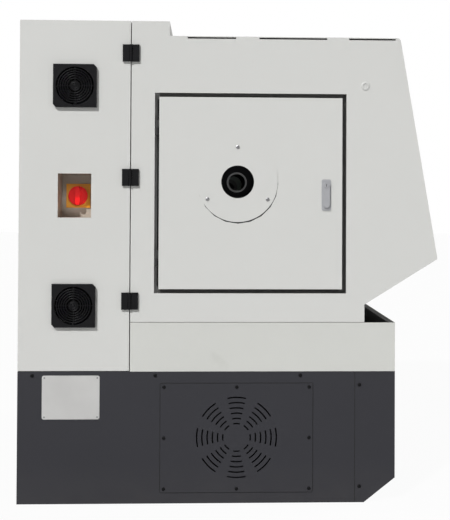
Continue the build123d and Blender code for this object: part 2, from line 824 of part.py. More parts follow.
# Spindle bearings: one ring pack at each end of the headstock
with BuildPart() as spindle_bearings:
    for ring_x, ring_width, ring_outer, ring_inner in (
            (headstock_x, rear_bearing_width, rear_bearing_radius, rear_journal_radius),
            (headstock_end_x - front_bearing_width, front_bearing_width, front_bearing_radius,
             front_journal_radius)):
        turned(((ring_x, ring_inner + running_gap), (ring_x, ring_outer - running_gap),
                (ring_x + ring_width, ring_outer - running_gap),
                (ring_x + ring_width, ring_inner + running_gap)), spindle_y, spindle_height)
save(spindle_bearings, "spindle_bearings")

# Spindle: hollow stepped shaft with a flanged nose
front_seat_x = headstock_end_x - front_bearing_width
with BuildPart() as spindle:
    turned(((spindle_tail_x, spindle_bore_radius), (spindle_tail_x, spindle_tail_radius),
            (headstock_x, spindle_tail_radius), (headstock_x, rear_journal_radius),
            (front_seat_x, rear_journal_radius), (front_seat_x, front_journal_radius),
            (nose_x - nose_thick, front_journal_radius), (nose_x - nose_thick, nose_radius),
            (nose_x, nose_radius), (nose_x, spindle_bore_radius)), spindle_y, spindle_height)
save(spindle, "spindle")


def grooved_pulley(outer_radius, bore_radius):
    """Outline of a pulley with equal vee grooves, as X and radius points."""
    pitch = pulley_width / groove_count
    points = [(pulley_x, bore_radius), (pulley_x, outer_radius)]
    for groove in range(groove_count):
        middle = pulley_x + (groove + 1 / 2) * pitch
        points.append((middle - groove_top / 2, outer_radius))
        points.append((middle - groove_bottom / 2, outer_radius - groove_depth))
        points.append((middle + groove_bottom / 2, outer_radius - groove_depth))
        points.append((middle + groove_top / 2, outer_radius))
    points.append((pulley_x + pulley_width, outer_radius))
    points.append((pulley_x + pulley_width, bore_radius))
    return points


# Spindle pulley: keyed on the spindle tail
with BuildPart() as spindle_pulley:
    turned(grooved_pulley(spindle_pulley_radius, spindle_tail_radius), spindle_y, spindle_height)
save(spindle_pulley, "spindle_pulley")

# Motor pulley: turned in one with its stub shaft into the motor
motor_x = headstock_x
with BuildPart() as motor_pulley:
    turned(grooved_pulley(motor_pulley_radius, 0), spindle_y, motor_height)
    x_rod(pulley_x + pulley_width, motor_x + motor_shaft_insert, spindle_y, motor_height, motor_shaft_radius)
save(motor_pulley, "motor_pulley")

# Drive belts: three loops round both pulleys, one in each groove
belt_pitch = pulley_width / groove_count
belt_width = groove_bottom - 2 * slide_gap


def belt_loop(extra):
    """Face bounded by the tangent loop round both groove floors, moved out by extra."""
    with BuildSketch(Plane.YZ.offset(pulley_x)) as loop:
        with BuildLine(mode=Mode.PRIVATE) as rims:
            CenterArc((spindle_y, spindle_height), spindle_pulley_radius - groove_depth + extra, 0, 360)
            CenterArc((spindle_y, motor_height), motor_pulley_radius - groove_depth + extra, 0, 360)
        make_hull(rims.line.edges())
    return loop.sketch


belt_outer = belt_loop(slide_gap + belt_thick)
belt_inner = belt_loop(slide_gap)
with BuildPart() as drive_belts:
    for groove in range(groove_count):
        belt_x = (groove + 1 / 2) * belt_pitch - belt_width / 2
        loop_face = belt_outer - belt_inner
        extrude(Pos(belt_x, 0, 0) * loop_face, amount=belt_width)
save(drive_belts, "drive_belts")

# Spindle motor: finned body with end bells on a pedestal foot
motor_end_x = motor_x + motor_length
with BuildPart() as spindle_motor:
    with BuildSketch(Plane.YZ.offset(motor_x + motor_bell)):
        with Locations((spindle_y, motor_height)):
            Circle(motor_radius - motor_fin_height)
            with PolarLocations(motor_radius - motor_fin_height, motor_fins):
                Rectangle(2 * motor_fin_height, motor_fin_thick)
        with Locations((spindle_y, (base_sheet + motor_height) / 2)):
            Rectangle(motor_foot_width / 2, motor_height - base_sheet)
        with Locations((spindle_y, base_sheet + motor_foot_thick / 2)):
            Rectangle(motor_foot_width, motor_foot_thick)
    extrude(amount=motor_length - 2 * motor_bell)
    x_rod(motor_x, motor_x + motor_bell, spindle_y, motor_height, motor_radius)
    x_rod(motor_end_x - motor_bell, motor_end_x, spindle_y, motor_height, motor_radius)
    x_rod(motor_x - cut_overrun, motor_x + motor_shaft_insert + slide_gap, spindle_y, motor_height,
          motor_shaft_radius + running_gap, Mode.SUBTRACT)
save(spindle_motor, "spindle_motor")

# Chuck body: turned disc with a through hole and three radial jaw slots
with BuildPart() as chuck_body:
    turned(((nose_x, chuck_bore_radius), (nose_x, chuck_radius - chuck_edge),
            (nose_x + chuck_edge, chuck_radius), (chuck_face_x - chuck_edge, chuck_radius),
            (chuck_face_x, chuck_radius - chuck_edge), (chuck_face_x, chuck_bore_radius)),
           spindle_y, spindle_height)
    for jaw in range(jaw_count):
        jaw_angle = radians(90 + jaw * 360 / jaw_count)
        with BuildSketch(Plane(origin=(chuck_face_x + cut_overrun, spindle_y, spindle_height),
                               x_dir=(0, cos(jaw_angle), sin(jaw_angle)), z_dir=(1, 0, 0))):
            with Locations((chuck_radius / 2 + cut_overrun, 0)):
                Rectangle(chuck_radius + 2 * cut_overrun, jaw_width + 2 * slide_gap)
        extrude(amount=-jaw_slot_depth - cut_overrun, mode=Mode.SUBTRACT)
save(chuck_body, "chuck_body")

# Chuck jaws: stepped jaws that slide in the slots
for jaw in range(jaw_count):
    jaw_angle = radians(90 + jaw * 360 / jaw_count)
    with BuildPart() as chuck_jaw:
        with BuildSketch(Plane(origin=(chuck_face_x, spindle_y, spindle_height),
                               x_dir=(0, cos(jaw_angle), sin(jaw_angle)),
                               z_dir=(0, sin(jaw_angle), -cos(jaw_angle)))):
            with BuildLine():
                Polyline((jaw_inner, slide_gap - jaw_slot_depth), (jaw_outer, slide_gap - jaw_slot_depth),
                         (jaw_outer, jaw_high), (jaw_step, jaw_high), (jaw_step, jaw_low),
                         (jaw_inner, jaw_low), close=True)
            make_face()
        extrude(amount=jaw_width / 2, both=True)
    save(chuck_jaw, f"chuck_jaw_{jaw + 1}")

# Saddle: bridges both ways, with an apron round the long screw and a dovetail for the cross slide
saddle_x0 = saddle_rest_x - saddle_length / 2
saddle_x1 = saddle_rest_x + saddle_length / 2
saddle_front_y = spindle_y - saddle_front
saddle_rear_y = spindle_y + saddle_rear
saddle_low = way_height + slide_gap
saddle_top = way_height + saddle_thick
dovetail_z = saddle_top + dovetail_height
bed_front_y = spindle_y - bed_half
z_screw_y = bed_front_y - z_screw_out
z_screw_z = way_height - z_screw_drop
x_screw_z = way_height + x_screw_rise
x_bracket_y = saddle_rear_y + x_bracket_thick
x_servo_length = panel_rear_y - x_servo_clear - x_bracket_y


def dovetail(grow):
    """X-Z outline of the cross slide's dovetail, grown by a clearance."""
    low_half = dovetail_bottom / 2 + grow
    high_half = dovetail_top / 2 + grow
    return ((saddle_rest_x - low_half, saddle_top), (saddle_rest_x - high_half, dovetail_z + grow),
            (saddle_rest_x + high_half, dovetail_z + grow), (saddle_rest_x + low_half, saddle_top))


with BuildPart() as saddle:
    block(saddle_x0, saddle_x1, saddle_front_y, saddle_rear_y, saddle_low, saddle_top)
    along_y(dovetail(0), saddle_front_y, saddle_rear_y)
    block(saddle_x0, saddle_x1, saddle_front_y, bed_front_y - apron_clear, way_height - apron_drop,
          saddle_top)
    block(saddle_rest_x - x_servo_size / 2, saddle_rest_x + x_servo_size / 2, saddle_rear_y, x_bracket_y,
          saddle_low, x_screw_z + x_servo_size / 2)
    block(saddle_rest_x - channel_width / 2, saddle_rest_x + channel_width / 2, saddle_front_y + x_wall,
          saddle_rear_y, way_height + channel_floor, dovetail_z + cut_overrun, Mode.SUBTRACT)
    vee_groove(saddle_x0, saddle_x1)
    x_rod(saddle_x0 - cut_overrun, saddle_x1 + cut_overrun, z_screw_y, z_screw_z,
          z_screw_radius + running_gap, Mode.SUBTRACT)
    y_rod(saddle_front_y - cut_overrun, x_bracket_y + cut_overrun, saddle_rest_x, x_screw_z,
          x_journal_radius + running_gap, Mode.SUBTRACT)
save(saddle, "saddle")

# Long screw brackets: two blocks on the front of the bed
z_left_x = nose_x + z_bracket_left_gap - z_bracket_length / 2
z_right_x = bed_end_x - z_bracket_right_inset
with BuildPart() as z_axis_brackets:
    for bracket_x in (z_left_x, z_right_x - z_bracket_length):
        block(bracket_x, bracket_x + z_bracket_length, z_screw_y - z_bracket_half, bed_front_y,
              z_screw_z - z_bracket_half, z_screw_z + z_bracket_half)
        x_rod(bracket_x - cut_overrun, bracket_x + z_bracket_length + cut_overrun, z_screw_y, z_screw_z,
              z_journal_radius + running_gap, Mode.SUBTRACT)
save(z_axis_brackets, "z_axis_brackets")

# Long ball screw: threaded length between the brackets with a journal at each end
z_body_x0 = z_left_x + z_bracket_length + slide_gap
z_body_x1 = z_right_x - z_bracket_length - slide_gap
with BuildPart() as z_ball_screw:
    turned(((z_left_x, 0), (z_left_x, z_journal_radius), (z_body_x0, z_journal_radius),
            (z_body_x0, z_screw_radius), (z_body_x1, z_screw_radius), (z_body_x1, z_journal_radius),
            (z_right_x + servo_shaft_hole - slide_gap, z_journal_radius),
            (z_right_x + servo_shaft_hole - slide_gap, 0)), z_screw_y, z_screw_z)
save(z_ball_screw, "z_ball_screw")


def servo(mount, size, length, journal_radius):
    """Servo motor on a mounting plane: square flange, rounded body, encoder cap and shaft hole."""
    with BuildSketch(mount) as flange:
        Rectangle(size, size)
    extrude(flange.sketch, amount=length * servo_flange_length_share)
    with BuildSketch(mount) as body:
        RectangleRounded(size * servo_body_share, size * servo_body_share, size * servo_corner_share)
    extrude(body.sketch, amount=length * servo_body_length_share)
    with BuildSketch(mount) as cap:
        Rectangle(size * servo_cap_share, size * servo_cap_share)
    extrude(cap.sketch, amount=length)
    rod(mount, journal_radius + running_gap, servo_shaft_hole, Mode.SUBTRACT)


# Servo motors of the long and the cross screw
with BuildPart() as z_servo_motor:
    servo(Plane(origin=(z_right_x, z_screw_y, z_screw_z), x_dir=(0, 1, 0), z_dir=(1, 0, 0)),
          z_servo_size, z_servo_length, z_journal_radius)
save(z_servo_motor, "z_servo_motor")

with BuildPart() as x_servo_motor:
    servo(Plane(origin=(saddle_rest_x, x_bracket_y, x_screw_z), x_dir=(1, 0, 0), z_dir=(0, 1, 0)),
          x_servo_size, x_servo_length, x_journal_radius)
save(x_servo_motor, "x_servo_motor")

# Cross ball screw: runs in the saddle's channel
x_body_y0 = saddle_front_y + x_wall + slide_gap
x_body_y1 = saddle_rear_y - slide_gap
with BuildPart() as x_ball_screw:
    y_rod(saddle_front_y, x_bracket_y + servo_shaft_hole - slide_gap, saddle_rest_x, x_screw_z,
          x_journal_radius)
    y_rod(x_body_y0, x_body_y1, saddle_rest_x, x_screw_z, x_screw_radius)
save(x_ball_screw, "x_ball_screw")

# Cross slide: plate with a dovetail groove and a nut lug in the channel
cross_y0 = spindle_y - cross_front
cross_y1 = spindle_y + cross_rear
cross_low = saddle_top + slide_gap
cross_top = saddle_top + cross_thick
nut_y = (x_body_y0 + cross_y1) / 2
with BuildPart() as cross_slide:
    block(saddle_rest_x - cross_width / 2, saddle_rest_x + cross_width / 2, cross_y0, cross_y1, cross_low,
          cross_top)
    along_y(dovetail(slide_gap), cross_y0 - cut_overrun, cross_y1 + cut_overrun, Mode.SUBTRACT)
    block(saddle_rest_x - x_nut_half, saddle_rest_x + x_nut_half, nut_y - x_nut_length / 2,
          nut_y + x_nut_length / 2, x_screw_z - x_nut_half, dovetail_z + x_nut_half)
    y_rod(nut_y - x_nut_length, nut_y + x_nut_length, saddle_rest_x, x_screw_z, x_screw_radius + running_gap,
          Mode.SUBTRACT)
save(cross_slide, "cross_slide")

# Turret: square base and a four-way head with a tool slot along each side
turret_y = spindle_y - turret_offset
turret_low = cross_top + turret_base_thick
turret_plane = Plane(origin=(saddle_rest_x, turret_y, cross_top), x_dir=(1, 0, 0), z_dir=(0, 0, 1))
with BuildPart() as turret_base:
    with BuildSketch(turret_plane):
        RectangleRounded(turret_base_size, turret_base_size, turret_corner)
    extrude(amount=turret_base_thick)
save(turret_base, "turret_base")

head_low = turret_low + slide_gap
slot_low = spindle_height - tool_shank
with BuildPart() as turret_head:
    with BuildSketch(Plane(origin=(saddle_rest_x, turret_y, head_low), x_dir=(1, 0, 0), z_dir=(0, 0, 1))):
        RectangleRounded(turret_size, turret_size, turret_corner)
    extrude(amount=turret_height)
    with BuildSketch(Plane(origin=(saddle_rest_x, turret_y, slot_low), x_dir=(1, 0, 0), z_dir=(0, 0, 1))):
        Rectangle(turret_size + 2 * cut_overrun, turret_size + 2 * cut_overrun)
        Rectangle(turret_size - 2 * tool_slot_depth, turret_size - 2 * tool_slot_depth, mode=Mode.SUBTRACT)
    extrude(amount=tool_slot_height, mode=Mode.SUBTRACT)
    z_rod(head_low + turret_height, head_low + turret_height + turret_cap_height, saddle_rest_x, turret_y,
          turret_cap_radius)
save(turret_head, "turret_head")

# Tailstock body: waisted casting on both ways with a barrel and a rear quill cylinder
tailstock_end_x = bed_end_x - tailstock_end_clear
tailstock_x = tailstock_end_x - tailstock_length
lever_z = way_height + tailstock_foot / 2
lever_x = (tailstock_x + tailstock_end_x) / 2
lever_y = spindle_y - tailstock_foot_width / 2 - lever_boss_reach
quill_x = tailstock_x - quill_out
with BuildPart() as tailstock_body:
    with BuildSketch(Plane.YZ.offset(tailstock_x)):
        with BuildLine():
            Polyline((spindle_y - tailstock_foot_width / 2, way_height + slide_gap),
                     (spindle_y - tailstock_foot_width / 2, way_height + tailstock_foot),
                     (spindle_y - tailstock_waist / 2, spindle_height - tailstock_barrel_radius / 2),
                     (spindle_y + tailstock_waist / 2, spindle_height - tailstock_barrel_radius / 2),
                     (spindle_y + tailstock_foot_width / 2, way_height + tailstock_foot),
                     (spindle_y + tailstock_foot_width / 2, way_height + slide_gap), close=True)
        make_face()
        with Locations((spindle_y, spindle_height)):
            Circle(tailstock_barrel_radius)
    extrude(amount=tailstock_length)
    x_rod(tailstock_end_x, tailstock_end_x + cylinder_length, spindle_y, spindle_height, cylinder_radius)
    x_rod(tailstock_x - cut_overrun, quill_x + quill_length + slide_gap, spindle_y, spindle_height,
          quill_radius + running_gap, Mode.SUBTRACT)
    y_rod(lever_y, spindle_y, lever_x, lever_z, lever_boss_radius)
    y_rod(lever_y - cut_overrun, lever_y + lever_shaft_insert + slide_gap, lever_x, lever_z,
          lever_shaft_radius + running_gap, Mode.SUBTRACT)
    vee_groove(tailstock_x, tailstock_end_x)
save(tailstock_body, "tailstock_body")

# Tailstock quill: round bar with a tapered socket for a centre
with BuildPart() as tailstock_quill:
    turned(((quill_x, quill_socket_radius), (quill_x, quill_radius), (quill_x + quill_length, quill_radius),
            (quill_x + quill_length, 0), (quill_x + quill_socket_depth, 0),
            (quill_x + quill_socket_depth, quill_socket_end_radius)), spindle_y, spindle_height)
save(tailstock_quill, "tailstock_quill")

# Tailstock clamp lever: hub and hanging bar on a shaft across the foot
with BuildPart() as tailstock_clamp_lever:
    y_rod(lever_y - slide_gap, lever_y + lever_shaft_insert, lever_x, lever_z, lever_shaft_radius)
    y_rod(lever_y - slide_gap - lever_hub_length, lever_y - slide_gap, lever_x, lever_z, lever_boss_radius)
    z_rod(lever_z - lever_length, lever_z, lever_x, lever_y - slide_gap - lever_hub_length / 2, lever_radius)
    chamfer(tailstock_clamp_lever.edges().group_by(Axis.Z)[0], length=lever_radius / 2)
save(tailstock_clamp_lever, "tailstock_clamp_lever")

# Sliding door: folded pan behind the leaning front, with a window
slider_width = front_opening_width + 2 * slider_overlap
slider_height = front_opening_height + 2 * slider_overlap
slider_x0 = front_opening_x0 - slider_overlap
slider_s0 = front_opening_low - slider_overlap
slider_s1 = slider_s0 + slider_height
window_s = (slider_s0 + window_low + slider_s1 - window_high) / 2
window_wide = slider_width - 2 * window_side
window_tall = slider_height - window_low - window_high
with BuildPart() as door_panel:
    with BuildSketch(front_plane.offset(-slider_front)):
        with Locations((front_opening_x, front_opening_s)):
            Rectangle(slider_width, slider_height)
    extrude(amount=-slider_thick)
    offset(amount=-slider_sheet, openings=door_panel.faces().sort_by(Axis((0, 0, 0), front_plane.z_dir))[0])
    with BuildSketch(front_plane):
        with Locations((front_opening_x, window_s)):
            RectangleRounded(window_wide, window_tall, window_radius)
    extrude(amount=-slider_front - slider_sheet - cut_overrun, mode=Mode.SUBTRACT)
save(door_panel, "door_panel")

# Door window: clear sheet behind the window opening
with BuildPart() as door_window:
    with BuildSketch(front_plane.offset(-slider_front - slider_sheet)):
        with Locations((front_opening_x, window_s)):
            RectangleRounded(window_wide + 2 * glass_overlap, window_tall + 2 * glass_overlap,
                             window_radius + glass_overlap)
    extrude(amount=-glass_thick)
save(door_window, "door_window")

# Door handle: round bar bent into a bow
handle_x = slider_x0 + handle_inset
handle_low = window_s - handle_height / 2
handle_high = window_s + handle_height / 2
handle_out = handle_reach - slider_front
handle_bends = ((handle_low, -slider_front), (handle_low, handle_out), (handle_high, handle_out),
                (handle_high, -slider_front))
handle_points = [(handle_x, *on_front(s, n)) for s, n in handle_bends]
with BuildPart() as door_handle:
    with BuildLine():
        handle_path = FilletPolyline(*handle_points, radius=handle_bend)
    with BuildSketch(Plane(origin=handle_path @ 0, z_dir=handle_path % 0)):
        Circle(handle_radius)
    sweep()
save(door_handle, "door_handle")

# Door rails: an upper and a lower channel on the back of the front sheet
rail_x0 = slider_x0 - slider_overlap
rail_x1 = inner_right_x - slider_overlap
rail_front = skin_sheet


def rail_outline(edge, way):
    """Y-Z outline of a channel round the door's edge; way is +1 below the door and -1 above it."""
    return [on_front(s, n) for s, n in (
        (edge - way * rail_sheet, -rail_front), (edge - way * rail_sheet, -rail_back),
        (edge + way * rail_lip, -rail_back), (edge + way * rail_lip, rail_sheet - rail_back),
        (edge, rail_sheet - rail_back), (edge, -rail_front - rail_sheet),
        (edge + way * (rail_lip - slider_overlap / 2), -rail_front - rail_sheet),
        (edge + way * (rail_lip - slider_overlap / 2), -rail_front))]


with BuildPart() as door_rails:
    along_x(rail_outline(slider_s0 - slide_gap, 1), rail_x0, rail_x1)
    along_x(rail_outline(slider_s1 + slide_gap, -1), rail_x0, rail_x1)
save(door_rails, "door_rails")

# Control panel: shallow box on the front with a screen opening and holes for its controls
panel_x0 = front_opening_x1 + panel_gap
panel_x1 = right_x - panel_end_clear
panel_width = panel_x1 - panel_x0
panel_high = slope_length - panel_top_clear
panel_low = panel_high - panel_height
screen_width = panel_width * screen_shares[0]
screen_height = panel_height * screen_shares[1]


def panel_place(shares):
    """X and s on the control panel at shares of its width and height."""
    return (panel_x0 + shares[0] * panel_width, panel_low + shares[1] * panel_height)


screen_place = (panel_x0 + screen_inset + screen_width / 2, panel_high - screen_inset - screen_height / 2)
stop_place = panel_place(stop_place_shares)
wheel_place = panel_place(wheel_place_shares)
button_places = [panel_place(shares) for shares in button_shares]
with BuildPart() as control_panel:
    with BuildSketch(front_plane):
        with Locations(((panel_x0 + panel_x1) / 2, (panel_low + panel_high) / 2)):
            Rectangle(panel_width, panel_height)
    extrude(amount=panel_depth)
    offset(amount=-panel_sheet, openings=control_panel.faces().sort_by(Axis((0, 0, 0), front_plane.z_dir))[0])
    with BuildSketch(front_plane.offset(panel_depth + cut_overrun)):
        with Locations(screen_place):
            Rectangle(screen_width, screen_height)
        with Locations(stop_place):
            Circle(stop_stem_radius + slide_gap)
        with Locations(wheel_place):
            Circle(wheel_stem_radius + slide_gap)
        with Locations(*button_places):
            Circle(button_radius + slide_gap)
    extrude(amount=-panel_sheet - 2 * cut_overrun, mode=Mode.SUBTRACT)
save(control_panel, "control_panel")

# Panel screen: display unit held against the back of the panel's face
with BuildPart() as panel_screen:
    with BuildSketch(front_plane.offset(panel_depth - panel_sheet)):
        with Locations(screen_place):
            Rectangle(screen_width + 2 * screen_overlap, screen_height + 2 * screen_overlap)
    extrude(amount=-screen_thick)
save(panel_screen, "panel_screen")

# Panel controls: start and stop keys, mushroom stop button, hand pulse wheel
for (key_x, key_s), key_name in zip(button_places, ("start_key", "stop_key")):
    with BuildPart() as panel_key:
        with BuildSketch(front_plane.offset(panel_depth - button_insert)):
            with Locations((key_x, key_s)):
                Circle(button_radius)
        extrude(amount=button_insert + button_proud)
        chamfer(panel_key.edges().sort_by(Axis((0, 0, 0), front_plane.z_dir))[-1], length=button_proud / 4)
    save(panel_key, key_name)

with BuildPart() as emergency_stop:
    with BuildSketch(front_plane.offset(panel_depth - button_insert)):
        with Locations(stop_place):
            Circle(stop_stem_radius)
    extrude(amount=button_insert + stop_travel + stop_head_thick / 2)
    with BuildSketch(front_plane.offset(panel_depth + stop_travel + slide_gap)):
        with Locations(stop_place):
            Circle(stop_head_radius)
    extrude(amount=stop_head_thick)
    chamfer(emergency_stop.edges().sort_by(Axis((0, 0, 0), front_plane.z_dir))[-1],
            length=stop_head_thick / 3)
save(emergency_stop, "emergency_stop")

with BuildPart() as pulse_wheel:
    with BuildSketch(front_plane.offset(panel_depth - button_insert)):
        with Locations(wheel_place):
            Circle(wheel_stem_radius)
    extrude(amount=button_insert + wheel_thick / 2)
    with BuildSketch(front_plane.offset(panel_depth + slide_gap)):
        with Locations(wheel_place):
            Circle(wheel_radius)
    extrude(amount=wheel_thick)
    with BuildSketch(front_plane.offset(panel_depth + wheel_thick)):
        with Locations((wheel_place[0], wheel_place[1] + wheel_radius - 2 * wheel_knob_radius)):
            Circle(wheel_knob_radius)
    extrude(amount=wheel_knob_height)
save(pulse_wheel, "pulse_wheel")

# Spindle door: folded pan with a spindle hole, a lock hole and two lift-off knuckles
lock_y = opening_y - door_width / 2 + lock_edge_inset
lock_z = opening_z - lock_drop
lock_pivot_z = lock_z + lock_height / 2 - lock_pivot_drop
with BuildPart() as spindle_door:
    block(left_x, left_x + door_depth, opening_y - door_width / 2, door_rear_y, opening_z - door_height / 2,
          opening_z + door_height / 2)
    offset(amount=-door_sheet, openings=spindle_door.faces().sort_by(Axis.X)[-1])
    x_rod(left_x - cut_overrun, left_x + door_depth, spindle_y, spindle_height,
          spindle_cover_hole / 2 + door_hole_margin, Mode.SUBTRACT)
    x_rod(left_x - cut_overrun, left_x + door_depth, lock_y, lock_pivot_z, lock_barrel_radius + slide_gap,
          Mode.SUBTRACT)
    for level in pivot_levels:
        block(pivot_x - pivot_pin_radius, pivot_x + pivot_radius, door_rear_y - door_sheet / 2, pivot_y,
              level + slide_gap, level + pivot_length)
        z_rod(level + slide_gap, level + pivot_length, pivot_x, pivot_y, pivot_radius)
        z_rod(level, level + pivot_length + cut_overrun, pivot_x, pivot_y, pivot_pin_radius + running_gap,
              Mode.SUBTRACT)
save(spindle_door, "spindle_door")

# Spindle cover: round plate with a bar hole
with BuildPart() as spindle_cover:
    x_rod(left_x - spindle_cover_thick, left_x, spindle_y, spindle_height, spindle_cover_diameter / 2)
    x_rod(left_x - spindle_cover_thick - cut_overrun, left_x + cut_overrun, spindle_y, spindle_height,
          spindle_cover_hole / 2, Mode.SUBTRACT)
save(spindle_cover, "spindle_cover")

# Door lock: body plate with a barrel through the door
with BuildPart() as lock_body:
    with BuildSketch(Plane.YZ.offset(left_x - lock_plate)):
        with Locations((lock_y, lock_z)):
            RectangleRounded(lock_width, lock_height, lock_corner)
    extrude(amount=lock_plate)
    x_rod(left_x, left_x + lock_barrel_length, lock_y, lock_pivot_z, lock_barrel_radius)
    x_rod(left_x - lock_plate - cut_overrun, left_x + lock_barrel_length + cut_overrun, lock_y, lock_pivot_z,
          lock_shaft_radius + running_gap, Mode.SUBTRACT)
save(lock_body, "lock_body")

# Lock handle: hanging swing paddle with its shaft and inner cam
lock_handle_x = left_x - lock_plate - slide_gap
lock_cam_x = left_x + lock_barrel_length + slide_gap
paddle_drop = lock_handle_length / 2 - lock_handle_width / 2
with BuildPart() as lock_handle:
    with BuildSketch(Plane.YZ.offset(lock_handle_x - lock_handle_thick)):
        with Locations((lock_y, lock_pivot_z - paddle_drop)):
            SlotOverall(lock_handle_length, lock_handle_width, rotation=90)
    extrude(amount=lock_handle_thick)
    x_rod(lock_handle_x, lock_cam_x + lock_cam_thick, lock_y, lock_pivot_z, lock_shaft_radius)
    block(lock_cam_x, lock_cam_x + lock_cam_thick, lock_y - lock_cam_reach, lock_y + lock_cam_width / 2,
          lock_pivot_z - lock_cam_width / 2, lock_pivot_z + lock_cam_width / 2)
save(lock_handle, "lock_handle")

# Cabinet end door: folded pan with two fan holes and a deep pocket for the main switch
end_door_low = base_height + seal_gap
end_door_y = (cabinet_front_y + rear_y) / 2
fan_levels = (overall_height - fan_inset, base_height + fan_inset)
pocket_z = (base_height + overall_height) / 2
pocket_x = left_x + pocket_depth
with BuildPart() as cabinet_end_door:
    block(left_x, left_x + end_door_depth, cabinet_front_y, rear_y, end_door_low, overall_height)
    offset(amount=-end_door_sheet, openings=cabinet_end_door.faces().sort_by(Axis.X)[-1])
    with BuildSketch(Plane.YZ.offset(left_x)):
        with Locations((end_door_y, pocket_z)):
            Rectangle(pocket_width + 2 * end_door_sheet, pocket_height + 2 * end_door_sheet)
    extrude(amount=pocket_depth + end_door_sheet)
    with BuildSketch(Plane.YZ.offset(left_x - cut_overrun)):
        with Locations((end_door_y, pocket_z)):
            Rectangle(pocket_width, pocket_height)
    extrude(amount=pocket_depth + cut_overrun, mode=Mode.SUBTRACT)
    x_rod(pocket_x - cut_overrun, pocket_x + end_door_sheet + cut_overrun, end_door_y, pocket_z,
          isolator_neck_radius + slide_gap, Mode.SUBTRACT)
    for fan_z in fan_levels:
        x_rod(left_x - cut_overrun, left_x + end_door_depth, end_door_y, fan_z, fan_bore_radius,
              Mode.SUBTRACT)
save(cabinet_end_door, "cabinet_end_door")

# Cabinet fans: guards of whole rings on a cross of spokes, and square frames with a strutted hub behind
fan_x = left_x + end_door_sheet
fan_back_x = fan_x + fan_frame_depth
guard_diagonal = Axis((0, 0, 0), (1, -1, 0))
grille_step = (fan_bore_radius - grille_hub_radius) / grille_rings
with BuildPart() as cabinet_fans:
    for fan_z in fan_levels:
        with BuildSketch(Plane.YZ.offset(left_x - grille_depth)) as guard:
            with Locations((end_door_y, fan_z)):
                Rectangle(grille_size, grille_size)
            chamfer(guard.vertices().sort_by(guard_diagonal)[::3], length=grille_corner)
            with Locations((end_door_y, fan_z)):
                Circle(fan_bore_radius, mode=Mode.SUBTRACT)
        extrude(amount=grille_depth)
        with BuildSketch(Plane.YZ.offset(left_x - grille_depth)):
            with Locations((end_door_y, fan_z)):
                for ring in range(grille_rings - 1, 0, -1):
                    Circle(grille_hub_radius + ring * grille_step + grille_bar / 2)
                    Circle(grille_hub_radius + ring * grille_step - grille_bar / 2, mode=Mode.SUBTRACT)
                Circle(grille_hub_radius)
        extrude(amount=grille_ring_depth)
        with BuildSketch(Plane.YZ.offset(left_x - grille_depth + grille_ring_depth)):
            with Locations((end_door_y, fan_z)):
                with PolarLocations(0, grille_spokes, angular_range=180):
                    Rectangle(2 * fan_bore_radius + grille_bar, grille_bar)
        extrude(amount=grille_ring_depth)
        with BuildSketch(Plane.YZ.offset(fan_x)):
            with Locations((end_door_y, fan_z)):
                RectangleRounded(fan_frame_size, fan_frame_size, grille_corner)
                Circle(fan_bore_radius, mode=Mode.SUBTRACT)
        extrude(amount=fan_frame_depth)
        with BuildSketch(Plane.YZ.offset(fan_back_x - fan_back)):
            with Locations((end_door_y, fan_z)):
                with PolarLocations(0, 2, angular_range=180):
                    Rectangle(2 * fan_bore_radius + fan_strut, fan_strut)
                Circle(fan_hub_radius)
                Circle(fan_shaft_radius + running_gap, mode=Mode.SUBTRACT)
        extrude(amount=fan_back)
save(cabinet_fans, "cabinet_fans")

# Fan rotors: hub with pitched blades and a stub shaft in the frame's hub
rotor_x0 = fan_x + fan_back
rotor_x1 = fan_back_x - fan_back - slide_gap
blade_reach = fan_bore_radius - fan_strut / 2
blade_chord = rotor_x1 - rotor_x0 - fan_blade_thick
for fan_z, fan_name in zip(fan_levels, ("fan_rotor_upper", "fan_rotor_lower")):
    with BuildPart() as fan_rotor:
        x_rod(rotor_x0, rotor_x1, end_door_y, fan_z, fan_hub_radius)
        x_rod(rotor_x1, fan_back_x, end_door_y, fan_z, fan_shaft_radius)
        for blade in range(fan_blades):
            blade_angle = radians(blade * 360 / fan_blades)
            blade_plane = Plane(origin=((rotor_x0 + rotor_x1) / 2, end_door_y, fan_z),
                                x_dir=(1, 0, 0), z_dir=(0, cos(blade_angle), sin(blade_angle)))
            with BuildSketch(blade_plane):
                Rectangle(blade_chord, fan_blade_thick, rotation=fan_blade_pitch)
            extrude(amount=blade_reach)
    save(fan_rotor, fan_name)

# Main switch: plate and body joined through the pocket wall, with a turning knob
with BuildPart() as isolator_plate:
    with BuildSketch(Plane.YZ.offset(pocket_x - isolator_plate_thick)):
        with Locations((end_door_y, pocket_z)):
            Rectangle(isolator_plate_size, isolator_plate_size)
    extrude(amount=isolator_plate_thick)
    x_rod(pocket_x, pocket_x + end_door_sheet, end_door_y, pocket_z, isolator_neck_radius)
    with BuildSketch(Plane.YZ.offset(pocket_x + end_door_sheet)):
        with Locations((end_door_y, pocket_z)):
            Rectangle(isolator_body_size, isolator_body_size)
    extrude(amount=isolator_body_depth)
    x_rod(pocket_x - isolator_plate_thick - cut_overrun, pocket_x + isolator_body_depth / 2, end_door_y,
          pocket_z, isolator_shaft_radius + running_gap, Mode.SUBTRACT)
save(isolator_plate, "isolator_plate")

